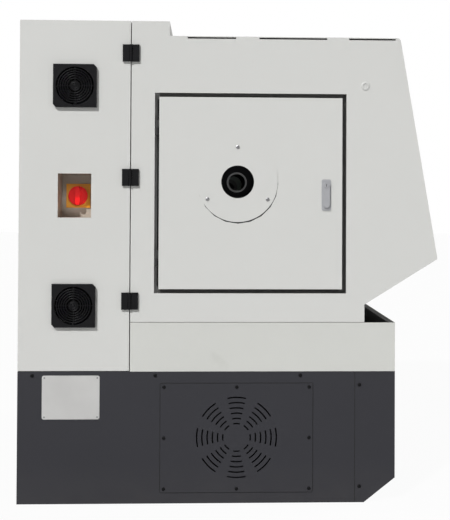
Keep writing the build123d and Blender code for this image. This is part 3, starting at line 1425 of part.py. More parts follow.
knob_x = pocket_x - isolator_plate_thick - slide_gap
with BuildPart() as isolator_knob:
    x_rod(knob_x - isolator_knob_thick, knob_x, end_door_y, pocket_z, isolator_knob_radius)
    with BuildSketch(Plane.YZ.offset(knob_x - isolator_knob_thick - isolator_grip_thick)):
        with Locations((end_door_y, pocket_z)):
            SlotOverall(2 * (isolator_knob_radius - isolator_grip_inset), isolator_grip_width, rotation=90)
    extrude(amount=isolator_grip_thick)
    x_rod(knob_x, pocket_x + isolator_body_depth / 2 - slide_gap, end_door_y, pocket_z, isolator_shaft_radius)
save(isolator_knob, "isolator_knob")

# Cabinet door hinges: fixed leaves with their pins, and door leaves that turn on them
hinge_x = left_x - hinge_knuckle_radius - slide_gap
hinge_levels = [base_height + share * cabinet_height for share in hinge_shares]


def leaf(level, side):
    """Flat hinge leaf on the panel, on one side of the hinge line."""
    inner_y = seam_y + side * (hinge_knuckle_radius + slide_gap)
    outer_y = seam_y + side * hinge_leaf_reach
    block(left_x - hinge_leaf_thick, left_x, min(inner_y, outer_y), max(inner_y, outer_y),
          level - hinge_height / 2, level + hinge_height / 2)


def knuckle(z0, z1, side):
    """Round knuckle with the neck that joins it to its leaf."""
    z_rod(z0, z1, hinge_x, seam_y, hinge_knuckle_radius)
    neck_y = seam_y + side * 2 * hinge_knuckle_radius
    block(left_x - hinge_leaf_thick, left_x - slide_gap, min(seam_y, neck_y), max(seam_y, neck_y), z0, z1)


with BuildPart() as fixed_hinges:
    for level in hinge_levels:
        leaf(level, -1)
        knuckle(level - hinge_height / 2, level, -1)
        z_rod(level - hinge_height / 2, level + hinge_height / 2, hinge_x, seam_y, hinge_pin_radius)
save(fixed_hinges, "fixed_hinges")

with BuildPart() as door_hinges:
    for level in hinge_levels:
        leaf(level, 1)
        knuckle(level + slide_gap, level + hinge_height / 2, 1)
        z_rod(level, level + hinge_height, hinge_x, seam_y, hinge_pin_radius + running_gap, Mode.SUBTRACT)
save(door_hinges, "door_hinges")

# Coolant tank: open pan on the base floor under the work space
tank_x1 = right_x - base_sheet - tank_end_clear
tank_y0 = base_front_y + base_sheet + tank_end_clear
with BuildPart() as coolant_tank:
    block(tank_x1 - tank_length, tank_x1, tank_y0, tank_y0 + tank_width, base_sheet, base_sheet + tank_height)
    offset(amount=-tank_sheet, openings=coolant_tank.faces().sort_by(Axis.Z)[-1])
save(coolant_tank, "coolant_tank")
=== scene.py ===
import math

import bmesh
import bpy
import numpy as np
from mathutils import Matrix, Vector


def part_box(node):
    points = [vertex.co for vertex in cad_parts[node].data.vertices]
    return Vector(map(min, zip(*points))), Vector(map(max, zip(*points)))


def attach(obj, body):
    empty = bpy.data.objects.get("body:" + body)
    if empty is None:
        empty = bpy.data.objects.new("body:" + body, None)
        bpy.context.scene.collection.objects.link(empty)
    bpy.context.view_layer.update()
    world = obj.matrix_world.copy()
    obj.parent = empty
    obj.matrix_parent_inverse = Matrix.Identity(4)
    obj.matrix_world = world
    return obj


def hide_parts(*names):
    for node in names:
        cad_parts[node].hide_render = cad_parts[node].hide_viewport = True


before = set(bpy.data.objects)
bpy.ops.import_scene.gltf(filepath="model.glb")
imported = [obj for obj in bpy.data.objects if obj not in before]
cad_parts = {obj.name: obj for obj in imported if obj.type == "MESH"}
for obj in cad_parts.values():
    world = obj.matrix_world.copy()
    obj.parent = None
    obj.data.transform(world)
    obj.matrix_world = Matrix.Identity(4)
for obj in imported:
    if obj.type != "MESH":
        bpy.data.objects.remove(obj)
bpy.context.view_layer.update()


# Base: a welded box of thick sheet, a folded cover along the front and a slotted plate before the motor.
# All three are sprayed with a dark grey texture paint that has gathered a little dust near the floor.
def coat(name, colour, shade, cloud, rough, grain, lift, metal=0.0):
    """Sprayed or bare finish: a slow noise moves the colour by a share either way and the gloss by a little,
    and a fine noise of the grain's scale raises the surface by a small distance."""
    finish = bpy.data.materials.new(name)
    finish.use_nodes = True
    tree = finish.node_tree
    shader = tree.nodes["Principled BSDF"]
    shader.inputs["Metallic"].default_value = metal
    place = tree.nodes.new("ShaderNodeTexCoord")
    slow = tree.nodes.new("ShaderNodeTexNoise")
    slow.inputs["Scale"].default_value = cloud
    slow.inputs["Detail"].default_value = 5.0
    tint = tree.nodes.new("ShaderNodeMix")
    tint.name = "tint"
    tint.data_type = "RGBA"
    tint.inputs[6].default_value = [c * (1 - shade) for c in colour] + [1]
    tint.inputs[7].default_value = [c * (1 + shade) for c in colour] + [1]
    gloss = tree.nodes.new("ShaderNodeMapRange")
    gloss.name = "gloss"
    gloss.inputs["To Min"].default_value = rough - 0.07
    gloss.inputs["To Max"].default_value = rough + 0.07
    fine = tree.nodes.new("ShaderNodeTexNoise")
    fine.name = "fine"
    fine.inputs["Scale"].default_value = grain
    fine.inputs["Detail"].default_value = 3.0
    bump = tree.nodes.new("ShaderNodeBump")
    bump.inputs["Strength"].default_value = 0.6
    bump.inputs["Distance"].default_value = lift
    tree.links.new(place.outputs["Object"], slow.inputs["Vector"])
    tree.links.new(place.outputs["Object"], fine.inputs["Vector"])
    tree.links.new(slow.outputs["Fac"], tint.inputs[0])
    tree.links.new(tint.outputs[2], shader.inputs["Base Color"])
    tree.links.new(slow.outputs["Fac"], gloss.inputs["Value"])
    tree.links.new(gloss.outputs["Result"], shader.inputs["Roughness"])
    tree.links.new(fine.outputs["Fac"], bump.inputs["Height"])
    tree.links.new(bump.outputs["Normal"], shader.inputs["Normal"])
    return finish


def lay_over(finish, colour, share):
    """Mixes another colour over a finish, by a share that another node gives."""
    tree = finish.node_tree
    shader = tree.nodes["Principled BSDF"]
    under = shader.inputs["Base Color"].links[0].from_socket
    layer = tree.nodes.new("ShaderNodeMix")
    layer.data_type = "RGBA"
    layer.inputs[7].default_value = list(colour) + [1]
    tree.links.new(share, layer.inputs[0])
    tree.links.new(under, layer.inputs[6])
    tree.links.new(layer.outputs[2], shader.inputs["Base Color"])
    return finish


def dust(finish, colour, axis, low, high, amount):
    """Dust over a finish: a share that is full at one level along an axis and fades to none at another, times
    a noise of middle scale."""
    tree = finish.node_tree
    place = tree.nodes.new("ShaderNodeTexCoord")
    split = tree.nodes.new("ShaderNodeSeparateXYZ")
    fade = tree.nodes.new("ShaderNodeMapRange")
    fade.inputs["From Min"].default_value = low
    fade.inputs["From Max"].default_value = high
    fade.inputs["To Min"].default_value = amount
    fade.inputs["To Max"].default_value = 0.0
    patch = tree.nodes.new("ShaderNodeTexNoise")
    patch.inputs["Scale"].default_value = 14.0
    patch.inputs["Detail"].default_value = 6.0
    share = tree.nodes.new("ShaderNodeMath")
    share.operation = "MULTIPLY"
    tree.links.new(place.outputs["Object"], split.inputs["Vector"])
    tree.links.new(place.outputs["Object"], patch.inputs["Vector"])
    tree.links.new(split.outputs[axis], fade.inputs["Value"])
    tree.links.new(fade.outputs["Result"], share.inputs[0])
    tree.links.new(patch.outputs["Fac"], share.inputs[1])
    return lay_over(finish, colour, share.outputs["Value"])


def dress(finish, *names):
    """Gives solid pieces of the frame one finish."""
    for name in names:
        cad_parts[name].data.materials.clear()
        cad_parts[name].data.materials.append(finish)


base_paint = dust(coat("base_paint", (0.031, 0.031, 0.037), 0.06, 3.0, 0.58, 900.0, 0.00025),
                  (0.09, 0.085, 0.08), "Z", 0.0, 0.12, 0.25)
base_paint.node_tree.nodes["Principled BSDF"].inputs["Specular IOR Level"].default_value = 0.3
dress(base_paint, "base_cabinet", "base_front_cover", "motor_vent_cover")


# Base fasteners: pan-head screws with a cross recess hold the vent plate, the front cover and the base skins.
# They are blackened steel, driven in from outside, one at each corner and at the middle of each long edge.
END = np.array([[0, -1, 0], [0, 0, 1], [-1, 0, 0]], float)
FRONT = np.array([[1, 0, 0], [0, 0, 1], [0, -1, 0]], float)
RIGHT = np.array([[0, 1, 0], [0, 0, 1], [1, 0, 0]], float)


def piece(name, sheets, finish, body):
    """One mesh from grids of points: neighbours in a grid make quads, and the last column joins the first.
    Rows that shrink to a point close the ends, then doubles are merged and faces turned outwards."""
    points, quads, start = [], [], 0
    for grid in sheets:
        rows, columns = grid.shape[:2]
        index = start + np.arange(rows * columns).reshape(rows, columns)
        index = np.concatenate([index, index[:, :1]], axis=1)
        corners = [index[:-1, :-1], index[:-1, 1:], index[1:, 1:], index[1:, :-1]]
        quads.append(np.stack(corners, -1).reshape(-1, 4))
        points.append(grid.reshape(-1, 3))
        start += rows * columns
    mesh = bpy.data.meshes.new(name)
    mesh.from_pydata(np.concatenate(points).tolist(), [], np.concatenate(quads).tolist())
    shape = bmesh.new()
    shape.from_mesh(mesh)
    bmesh.ops.remove_doubles(shape, verts=shape.verts, dist=1e-6)
    bmesh.ops.recalc_face_normals(shape, faces=shape.faces)
    shape.to_mesh(mesh)
    shape.free()
    mesh.polygons.foreach_set("use_smooth", np.ones(len(mesh.polygons), bool))
    mesh.set_sharp_from_angle(angle=math.radians(32))
    mesh.materials.append(finish)
    made = bpy.data.objects.new(name, mesh)
    bpy.context.scene.collection.objects.link(made)
    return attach(made, body)


def screw_heads(places, face, radius, height, points):
    """Heads on a face: rings of a domed profile whose inner rings follow a star of a few points, sunk as a
    recess. The star's radius is a cosine of the angle, and every head is the same grid moved to its place."""
    angle = np.linspace(0, 2 * np.pi, 24, endpoint=False)
    star = radius * (0.36 + 0.13 * np.cos(points * angle))
    ring = [radius, radius, 0.9 * radius, 0.68 * radius, 1.1 * star, star, 0 * star]
    level = np.array([0, 0.45, 0.8, 1.0, 1.0, 0.45, 0.4]) * height
    r = np.stack([np.broadcast_to(np.asarray(one, float), angle.shape) for one in ring])
    local = np.stack([r * np.cos(angle), r * np.sin(angle), np.broadcast_to(level[:, None], r.shape)], -1)
    return [np.asarray(at, float) + local @ face for at in places]


def edge_points(low, high, fixed, axes, counts, inset):
    """Places along the border of a rectangle between two corners: given counts along its sides, set in from
    the edge."""
    first, second = axes
    along = np.linspace(low[first] + inset, high[first] - inset, counts[0])
    up = np.linspace(low[second] + inset, high[second] - inset, counts[1])
    grid = np.stack(np.meshgrid(along, up, indexing="ij"), -1)
    border = np.ones(counts, bool)
    border[1:-1, 1:-1] = False
    places = np.empty((int(border.sum()), 3))
    places[:, first], places[:, second] = grid[border].T
    places[:, fixed[0]] = fixed[1]
    return places


screw_steel = coat("screw_steel", (0.4, 0.4, 0.41), 0.12, 240.0, 0.38, 1600.0, 0.00004, 1.0)
dark_screw = coat("dark_screw", (0.005, 0.005, 0.006), 0.1, 240.0, 0.5, 1600.0, 0.00004)
dark_screw.node_tree.nodes["Principled BSDF"].inputs["Specular IOR Level"].default_value = 0.2
vent_low, vent_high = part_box("motor_vent_cover")
base_low, base_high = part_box("base_cabinet")
cover_low, cover_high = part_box("base_front_cover")
vent_screws = edge_points(vent_low, vent_high, (0, vent_low.x), (1, 2), (3, 3), 0.0105)
base_screws = [(base_low.x, y, base_high.z - 0.0118) for y in (0.5888, 0.2216, -0.2151)]
cover_screws = [(cover_low.x, base_low.y - 0.0141, z) for z in (0.3542, 0.0486)]
piece("vent_plate_screws", screw_heads(vent_screws, END, 0.0052, 0.0026, 4), dark_screw, "machine_frame")
piece("base_end_screws", screw_heads(base_screws + cover_screws, END, 0.0055, 0.003, 4), dark_screw,
      "machine_frame")
front_screws = edge_points(cover_low, cover_high, (1, cover_low.y), (0, 2), (5, 2), 0.03)
front_screws[:, 2] = np.where(front_screws[:, 2] < 0.2, 0.1, front_screws[:, 2])
piece("base_front_screws", screw_heads(front_screws, FRONT, 0.0055, 0.003, 4), dark_screw, "machine_frame")


# Base joints: a thin black strip on the joint between the base and its front cover at the headstock end is
# painted shadow for the gap there, and a thin rubber gasket shows as a dark line round the vent plate.
def rounded_loop(width, height, corner, steps=6):
    """Rounded rectangle: a quarter circle about each of four corner centres, joined by the straight sides."""
    angle = (np.arange(4)[:, None] * np.pi / 2 + np.linspace(0, np.pi / 2, steps)).ravel()
    side = np.repeat([[1, 1], [-1, 1], [-1, -1], [1, -1]], steps, axis=0)
    bend = corner * np.stack([np.cos(angle), np.sin(angle)], -1)
    return side * [width / 2 - corner, height / 2 - corner] + bend


def slab(at, face, width, height, corner, thick, edge):
    """Flat plate on a face: rounded loops at the foot, under the edge, inside the edge and at the centre."""
    outer = rounded_loop(width, height, corner)
    inner = rounded_loop(width - 2 * edge, height - 2 * edge, max(corner - edge, edge / 4))
    loops = np.stack([0 * inner, outer, outer, inner, 0 * inner])
    level = np.array([0, 0, thick - edge, thick, thick])[:, None, None]
    local = np.concatenate([loops, np.broadcast_to(level, loops.shape[:2] + (1,))], -1)
    return np.asarray(at, float) + local @ face


def ring_seal(at, face, width, height, corner, wide, thick):
    """Seal round a rounded rectangle: a low domed section of given width carried along the loop."""
    across = np.array([-0.5, -0.4, -0.15, 0.15, 0.4, 0.5, -0.5]) * wide
    level = np.array([0, 0.7, 1.0, 1.0, 0.7, 0, 0]) * thick
    loops = np.stack([rounded_loop(width + 2 * a, height + 2 * a, corner + a) for a in across])
    local = np.concatenate([loops, np.broadcast_to(level[:, None, None], loops.shape[:2] + (1,))], -1)
    return np.asarray(at, float) + local @ face


seal_rubber = coat("seal_rubber", (0.012, 0.012, 0.013), 0.15, 60.0, 0.7, 1500.0, 0.0001)
# Painted shadow: the black strip stands for the shade in the gap between the base and its front cover.
bead, shadow_strip_tall = 0.0022, base_high.z - 0.003
shadow_strip_at = (base_low.x, base_low.y, base_high.z / 2)
piece("base_joint_shadow_strip", [slab(shadow_strip_at, END, bead, shadow_strip_tall, 0.0006, 0.0005, 0.0002)], seal_rubber,
      "machine_frame")
vent_middle = (base_low.x, (vent_low.y + vent_high.y) / 2, (vent_low.z + vent_high.z) / 2)
gasket_wide, gasket_tall = vent_high.y - vent_low.y + bead, vent_high.z - vent_low.z + bead
piece("vent_gasket", [ring_seal(vent_middle, END, gasket_wide, gasket_tall, 0.0048, bead, 0.0008)],
      seal_rubber, "machine_frame")


# Rating plate: a thin sheet of brushed aluminium with rounded corners, left bare, riveted at its four corners
# to the rear of the base's end.
def brushed(name, colour, stretch, rough, lift):
    """Bare metal with fine lines: a noise squeezed along two axes shades the colour and lifts the surface."""
    finish = coat(name, colour, 0.1, 9.0, rough, 60.0, lift, 1.0)
    tree = finish.node_tree
    squeeze = tree.nodes.new("ShaderNodeMapping")
    squeeze.inputs["Scale"].default_value = stretch
    place = tree.nodes.new("ShaderNodeTexCoord")
    tree.links.new(place.outputs["Object"], squeeze.inputs["Vector"])
    tree.links.new(squeeze.outputs["Vector"], tree.nodes["fine"].inputs["Vector"])
    return finish


plate_metal = brushed("plate_metal", (0.83, 0.825, 0.81), (1, 1, 30), 0.42, 0.00003)
plate_y, plate_z = 0.4735, 0.3177
plate_wide, plate_tall, plate_thick = 0.172, 0.131, 0.0012
rivet_y, rivet_z = 0.079, 0.0585
piece("rating_plate", [slab((base_low.x, plate_y, plate_z), END, plate_wide, plate_tall, 0.006, plate_thick,
                            0.0004)], plate_metal, "machine_frame")
rivets = [(base_low.x - plate_thick, plate_y + a * rivet_y, plate_z + b * rivet_z)
          for a in (-1, 1) for b in (-1, 1)]
piece("plate_rivets", screw_heads(rivets, END, 0.0026, 0.0014, 0), screw_steel, "machine_frame")


# Chip tray: a welded pan in the enclosure's colour with folded rims, set on the base. Dried coolant and fine
# swarf stain the faces that look up; painted shade makes the open gutter along the front near black inside.
def boxed(finish, colour, low, high):
    """Another colour inside a box: the largest of the three distances from its centre, each over half the
    box's size, is less than one."""
    tree = finish.node_tree
    middle = [(a + b) / 2 for a, b in zip(low, high)]
    place = tree.nodes.new("ShaderNodeTexCoord")
    shift = tree.nodes.new("ShaderNodeVectorMath")
    shift.operation = "SUBTRACT"
    shift.inputs[1].default_value = middle
    scale = tree.nodes.new("ShaderNodeVectorMath")
    scale.operation = "DIVIDE"
    scale.inputs[1].default_value = [b - m for m, b in zip(middle, high)]
    far = tree.nodes.new("ShaderNodeVectorMath")
    far.operation = "ABSOLUTE"
    split = tree.nodes.new("ShaderNodeSeparateXYZ")
    first = tree.nodes.new("ShaderNodeMath")
    first.operation = "MAXIMUM"
    second = tree.nodes.new("ShaderNodeMath")
    second.operation = "MAXIMUM"
    within = tree.nodes.new("ShaderNodeMath")
    within.operation = "LESS_THAN"
    within.inputs[1].default_value = 1.0
    tree.links.new(place.outputs["Object"], shift.inputs[0])
    tree.links.new(shift.outputs["Vector"], scale.inputs[0])
    tree.links.new(scale.outputs["Vector"], far.inputs[0])
    tree.links.new(far.outputs["Vector"], split.inputs["Vector"])
    tree.links.new(split.outputs["X"], first.inputs[0])
    tree.links.new(split.outputs["Y"], first.inputs[1])
    tree.links.new(first.outputs["Value"], second.inputs[0])
    tree.links.new(split.outputs["Z"], second.inputs[1])
    tree.links.new(second.outputs["Value"], within.inputs[0])
    return lay_over(finish, colour, within.outputs["Value"])


tray_paint = coat("tray_paint", (0.61, 0.615, 0.585), 0.025, 2.6, 0.45, 520.0, 0.00012)
tree = tray_paint.node_tree
facing = tree.nodes.new("ShaderNodeNewGeometry")
split = tree.nodes.new("ShaderNodeSeparateXYZ")
stain = tree.nodes.new("ShaderNodeMapRange")
stain.inputs["From Min"].default_value = 0.6
stain.inputs["From Max"].default_value = 1.4
sum_up = tree.nodes.new("ShaderNodeMath")
patches = tree.nodes.new("ShaderNodeTexNoise")
patches.inputs["Scale"].default_value = 7.0
patches.inputs["Detail"].default_value = 6.0
place = tree.nodes.new("ShaderNodeTexCoord")
tree.links.new(place.outputs["Object"], patches.inputs["Vector"])
tree.links.new(facing.outputs["Normal"], split.inputs["Vector"])
tree.links.new(split.outputs["Z"], sum_up.inputs[0])
tree.links.new(patches.outputs["Fac"], sum_up.inputs[1])
tree.links.new(sum_up.outputs["Value"], stain.inputs["Value"])
lay_over(tray_paint, (0.17, 0.16, 0.13), stain.outputs["Result"])
tray_low, tray_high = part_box("chip_tray")
sheet, gutter_back = 0.003, -0.36
# Painted shade: a near-black colour inside the box of the front gutter.
dress(boxed(tray_paint, (0.006, 0.006, 0.006), (tray_low.x + sheet / 2, tray_low.y + sheet / 2, tray_low.z),
            (tray_high.x - sheet / 2, gutter_back, tray_high.z - sheet / 2)), "chip_tray")


# Bed, headstock and tailstock: grey iron castings, filled and painted. The slideways on top of the bed are
# hardened and ground bare.
def bare_above(finish, level, colour):
    """Ground metal above a level: a step in Z turns the paint's colour to bare metal's."""
    tree = finish.node_tree
    place = tree.nodes.new("ShaderNodeTexCoord")
    split = tree.nodes.new("ShaderNodeSeparateXYZ")
    step = tree.nodes.new("ShaderNodeMath")
    step.operation = "GREATER_THAN"
    step.inputs[1].default_value = level
    tree.links.new(place.outputs["Object"], split.inputs["Vector"])
    tree.links.new(split.outputs["Z"], step.inputs[0])
    tree.links.new(step.outputs["Value"], tree.nodes["Principled BSDF"].inputs["Metallic"])
    return lay_over(finish, colour, step.outputs["Value"])


casting_paint = coat("casting_paint", (0.36, 0.4, 0.38), 0.05, 7.0, 0.45, 240.0, 0.0004)
bed_finish = bare_above(coat("bed_finish", (0.36, 0.4, 0.38), 0.05, 7.0, 0.4, 240.0, 0.0003), 0.7995,
                        (0.55, 0.55, 0.54))
dress(casting_paint, "headstock", "tailstock_body")
dress(bed_finish, "bed")


# Spindle line: spindle, pulleys, bearings, chuck and jaws of turned steel. The tool leaves fine rings about
# the axis, and the shaft is blackened by oil but for the mouth of its bore, which bars have rubbed bright.
def turned(name, colour, rough, axis_y, axis_z):
    """Lathe-turned metal: a noise of the distance from an axis along X makes fine rings in gloss and bump."""
    finish = coat(name, colour, 0.12, 16.0, rough, 700.0, 0.00003, 1.0)
    tree = finish.node_tree
    place = tree.nodes.new("ShaderNodeTexCoord")
    shift = tree.nodes.new("ShaderNodeVectorMath")
    shift.inputs[1].default_value = (0, -axis_y, -axis_z)
    flat = tree.nodes.new("ShaderNodeVectorMath")
    flat.operation = "MULTIPLY"
    flat.inputs[1].default_value = (0, 1, 1)
    reach = tree.nodes.new("ShaderNodeVectorMath")
    reach.operation = "LENGTH"
    reach.name = "reach"
    along = tree.nodes.new("ShaderNodeSeparateXYZ")
    along.name = "along"
    pair = tree.nodes.new("ShaderNodeCombineXYZ")
    tree.links.new(place.outputs["Object"], shift.inputs[0])
    tree.links.new(shift.outputs["Vector"], flat.inputs[0])
    tree.links.new(flat.outputs["Vector"], reach.inputs[0])
    tree.links.new(place.outputs["Object"], along.inputs["Vector"])
    tree.links.new(reach.outputs["Value"], pair.inputs["X"])
    tree.links.new(along.outputs["X"], pair.inputs["Y"])
    tree.links.new(pair.outputs["Vector"], tree.nodes["fine"].inputs["Vector"])
    return finish


spindle_low, spindle_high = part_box("spindle")
axis_y = (spindle_low.y + spindle_high.y) / 2
axis_z = (spindle_low.z + spindle_high.z) / 2
spindle_steel = turned("spindle_steel", (0.3, 0.3, 0.3), 0.34, axis_y, axis_z)
chuck_steel = turned("chuck_steel", (0.5, 0.5, 0.5), 0.28, axis_y, axis_z)
motor_low, motor_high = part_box("motor_pulley")
pulley_black = turned("pulley_black", (0.02, 0.02, 0.021), 0.45, axis_y, (motor_low.z + motor_high.z) / 2)
shaft_black = turned("shaft_black", (0.016, 0.016, 0.017), 0.36, axis_y, axis_z)
black_oxide = turned("black_oxide", (0.02, 0.02, 0.021), 0.45, axis_y, axis_z)
mouth_reach, mouth_half, tail_deep = 0.0275, 0.0036, 0.006
tree = shaft_black.node_tree
mouth = tree.nodes.new("ShaderNodeMath")
mouth.operation = "COMPARE"
mouth.inputs[1].default_value = mouth_reach
mouth.inputs[2].default_value = mouth_half
tail = tree.nodes.new("ShaderNodeMath")
tail.operation = "LESS_THAN"
tail.inputs[1].default_value = spindle_low.x + tail_deep
rim = tree.nodes.new("ShaderNodeMath")
rim.operation = "MULTIPLY"
tree.links.new(tree.nodes["reach"].outputs["Value"], mouth.inputs[0])
tree.links.new(tree.nodes["along"].outputs["X"], tail.inputs[0])
tree.links.new(mouth.outputs["Value"], rim.inputs[0])
tree.links.new(tail.outputs["Value"], rim.inputs[1])
dress(lay_over(shaft_black, (0.24, 0.24, 0.24), rim.outputs["Value"]), "spindle")
dress(spindle_steel, "spindle_bearings", "tailstock_quill")
dress(black_oxide, "spindle_pulley")
dress(chuck_steel, "chuck_body", "chuck_jaw_1", "chuck_jaw_2", "chuck_jaw_3")
dress(pulley_black, "motor_pulley")

# Chuck fasteners: six socket-head screws of blackened steel, two between each pair of jaws, hold the chuck to
# the spindle nose.
chuck_low, chuck_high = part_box("chuck_body")
around = np.radians([15, 45, 135, 165, 255, 285])
bolt_reach = 0.078
chuck_bolts = np.stack([np.full(6, chuck_high.x), axis_y + bolt_reach * np.cos(around),
                        axis_z + bolt_reach * np.sin(around)], -1)
piece("chuck_bolts", screw_heads(chuck_bolts, RIGHT, 0.0075, 0.003, 6), dark_screw, "spindle_unit")

# Drive belts: three wedge belts of black rubber over fabric, moulded as closed loops and run between the two
# pulleys until they are dull.
belt_rubber = coat("belt_rubber", (0.018, 0.018, 0.019), 0.2, 40.0, 0.75, 1200.0, 0.0002)
dress(belt_rubber, "drive_belts")

# Motors: a ribbed spindle motor and two servo motors with cast housings in dark enamel. Plated socket screws
# hold the servo motors at the corners of their flanges.
motor_enamel = coat("motor_enamel", (0.028, 0.03, 0.034), 0.1, 12.0, 0.4, 300.0, 0.0002)
dress(motor_enamel, "spindle_motor", "z_servo_motor", "x_servo_motor")
REAR = np.array([[-1, 0, 0], [0, 0, 1], [0, 1, 0]], float)
servo_low, servo_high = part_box("z_servo_motor")
z_flange = servo_low.x + 0.08 * (servo_high.x - servo_low.x)
z_bolts = edge_points(servo_low, servo_high, (0, z_flange), (1, 2), (2, 2), 0.0042)
servo_low, servo_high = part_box("x_servo_motor")
x_flange = servo_low.y + 0.08 * (servo_high.y - servo_low.y)
x_bolts = edge_points(servo_low, servo_high, (1, x_flange), (0, 2), (2, 2), 0.0036)
piece("z_servo_screws", screw_heads(z_bolts, RIGHT, 0.0034, 0.003, 6), screw_steel, "machine_frame")
piece("x_servo_screws", screw_heads(x_bolts, REAR, 0.0028, 0.003, 6), screw_steel, "carriage")


# Ball screws: ground steel shafts with a rounded helical groove between two plain journals, which turn in
# their brackets.
def threaded(low, high, direction, journal, body, start, end, pitch, depth, turns):
    """Shaft along a direction: the radius is a journal's outside a span and the body's inside it, less a
    rounded groove whose phase is the distance over the pitch minus the angle."""
    first, last = low[direction], high[direction]
    rows = np.concatenate([[first, first, start], np.linspace(start, end, turns), [end, last, last]])
    angle = np.linspace(0, 2 * np.pi, 20, endpoint=False)
    phase = rows[:, None] / pitch - angle / (2 * np.pi)
    groove = np.clip(np.cos(2 * np.pi * phase) - 0.1, 0, 1) * depth
    inside = np.zeros(len(rows), bool)
    inside[3:-3] = True
    radius = np.where(inside[:, None], body - groove, journal)
    radius[[0, -1]] = 0
    others = [i for i in range(3) if i != direction]
    grid = np.empty(radius.shape + (3,))
    grid[..., direction] = rows[:, None]
    for i, wave in zip(others, (np.cos(angle), np.sin(angle))):
        grid[..., i] = (low[i] + high[i]) / 2 + radius * wave
    return grid


screw_ground = brushed("screw_ground", (0.5, 0.5, 0.5), (12, 12, 12), 0.26, 0.00002)
low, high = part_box("z_ball_screw")
z_screw = piece("z_ball_screw_thread",
                [threaded(low, high, 0, 0.0085, 0.0125, -0.2597, 0.5997, 0.01, 0.0016, 690)],
                screw_ground, "z_screw")
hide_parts("z_ball_screw")
low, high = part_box("x_ball_screw")
x_screw = piece("x_ball_screw_thread",
                [threaded(low, high, 1, 0.006, 0.008, low.y + 0.0153, high.y - 0.0377, 0.005, 0.0009, 420)],
                screw_ground, "x_screw")
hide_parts("x_ball_screw")

# Slides: saddle, cross slide, turret, screw brackets and clamp lever, of iron and steel, machined all over
# and oiled.
slide_steel = brushed("slide_steel", (0.4, 0.4, 0.395), (1, 14, 14), 0.33, 0.00003)
dress(slide_steel, "saddle", "cross_slide", "turret_base", "turret_head", "z_axis_brackets",
      "tailstock_clamp_lever")

# Turret clamp screws: three blackened steel screws on each of the four sides, driven down to press on the
# tool shank in the slot below.
UP = np.array([[1, 0, 0], [0, 1, 0], [0, 0, 1]], float)
head_low, head_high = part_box("turret_head")
turret_x, turret_y = (head_low.x + head_high.x) / 2, (head_low.y + head_high.y) / 2
offsets = np.array([(0.053, a) for a in (-0.036, 0.0, 0.036)])
clamps = np.concatenate([offsets * [s, 1] for s in (-1, 1)] + [offsets[:, ::-1] * [1, s] for s in (-1, 1)])
clamp_places = np.column_stack([turret_x + clamps[:, 0], turret_y + clamps[:, 1],
                                np.full(len(clamps), head_high.z - 0.02)])
piece("turret_clamp_screws", screw_heads(clamp_places, UP, 0.0062, 0.012, 4), dark_screw, "turret")

# Coolant tank: folded galvanised sheet, set on the base's floor. The crystals of the zinc show as lighter and
# darker patches.
zinc = coat("zinc", (0.42, 0.44, 0.45), 0.2, 60.0, 0.5, 90.0, 0.00002, 1.0)
dress(zinc, "coolant_tank")

# Drives: moulded housings on a plate between two cable ducts. Each has a ribbed vent above and a strip of
# green screw terminals below.
drive_plastic = coat("drive_plastic", (0.1, 0.105, 0.11), 0.06, 10.0, 0.5, 700.0, 0.0001)
terminal_green = coat("terminal_green", (0.03, 0.16, 0.07), 0.08, 30.0, 0.5, 700.0, 0.0001)
dress(drive_plastic, "drive_modules")
drive_low, drive_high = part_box("drive_modules")
drive_pitch = (drive_high.x - drive_low.x) / 5
drive_z = (drive_low.z + drive_high.z) / 2
drive_x = [drive_low.x + (i + 0.5) * drive_pitch for i in range(5)]
rib_rise, rib_pitch, strip_drop, strip_pitch = 0.02, 0.012, 0.13, 0.016
ribs = [slab((x, drive_high.y, drive_z + rib_rise + rib_pitch * i), REAR, 0.13, 0.005, 0.002, 0.003, 0.001)
        for x in drive_x for i in range(9)]
piece("drive_vent_ribs", ribs, drive_plastic, "machine_frame")
strips = [slab((x + strip_pitch * (i - 3.5), drive_high.y, drive_z - strip_drop), REAR, 0.0145, 0.026, 0.001,
               0.009, 0.001) for x in drive_x for i in range(8)]
piece("drive_terminals", strips, terminal_green, "machine_frame")


# Enclosure sheets: folded steel panels, powder coated in a warm light grey with a fine orange peel and bolted
# from inside. The spindle door's small lift-off knuckles are left black.
def panel_coat(name):
    """The enclosure's paint, under a name of its own."""
    return coat(name, (0.635, 0.637, 0.617), 0.018, 2.2, 0.42, 520.0, 0.00012)


dress(panel_coat("panel_paint"), "right_end_panel", "roof_panel", "front_frame", "front_apron",
      "cabinet_shell", "rear_covers", "spindle_cover", "door_panel", "inner_bulkhead")
panel_low, panel_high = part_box("left_end_panel")
door_low, door_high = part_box("spindle_door")
opening_y, opening_z = -0.063, (door_low.z + door_high.z) / 2
opening_wide, opening_tall = 0.5798, 0.6037
low_y, high_y = opening_y - opening_wide / 2, opening_y + opening_wide / 2
low_z, high_z = opening_z - opening_tall / 2, opening_z + opening_tall / 2
skin, channel_deep, knuckle_in, knuckle_end = 0.0004, 0.05, 0.0118, 0.02
# Painted shade: the channel round the spindle door's opening is painted dark grey where shade falls.
painted_shade_channel = ((panel_low.x - 0.001, low_y - skin, low_z - skin),
          (panel_low.x + channel_deep, high_y + skin, high_z + skin))
frame_paint = boxed(panel_coat("frame_paint"), (0.13, 0.13, 0.125), *painted_shade_channel)
knuckles = ((panel_low.x - 0.01, door_high.y - knuckle_in, 0),
            (panel_low.x + channel_deep, door_high.y + 0.01, 2))
door_paint = boxed(panel_coat("door_paint"), (0.05, 0.05, 0.05), *knuckles)
fixed_knuckles = ((panel_low.x - 0.001, door_high.y - knuckle_in, low_z + knuckle_end),
                  (panel_low.x + knuckle_end, high_y - skin, high_z - knuckle_end))
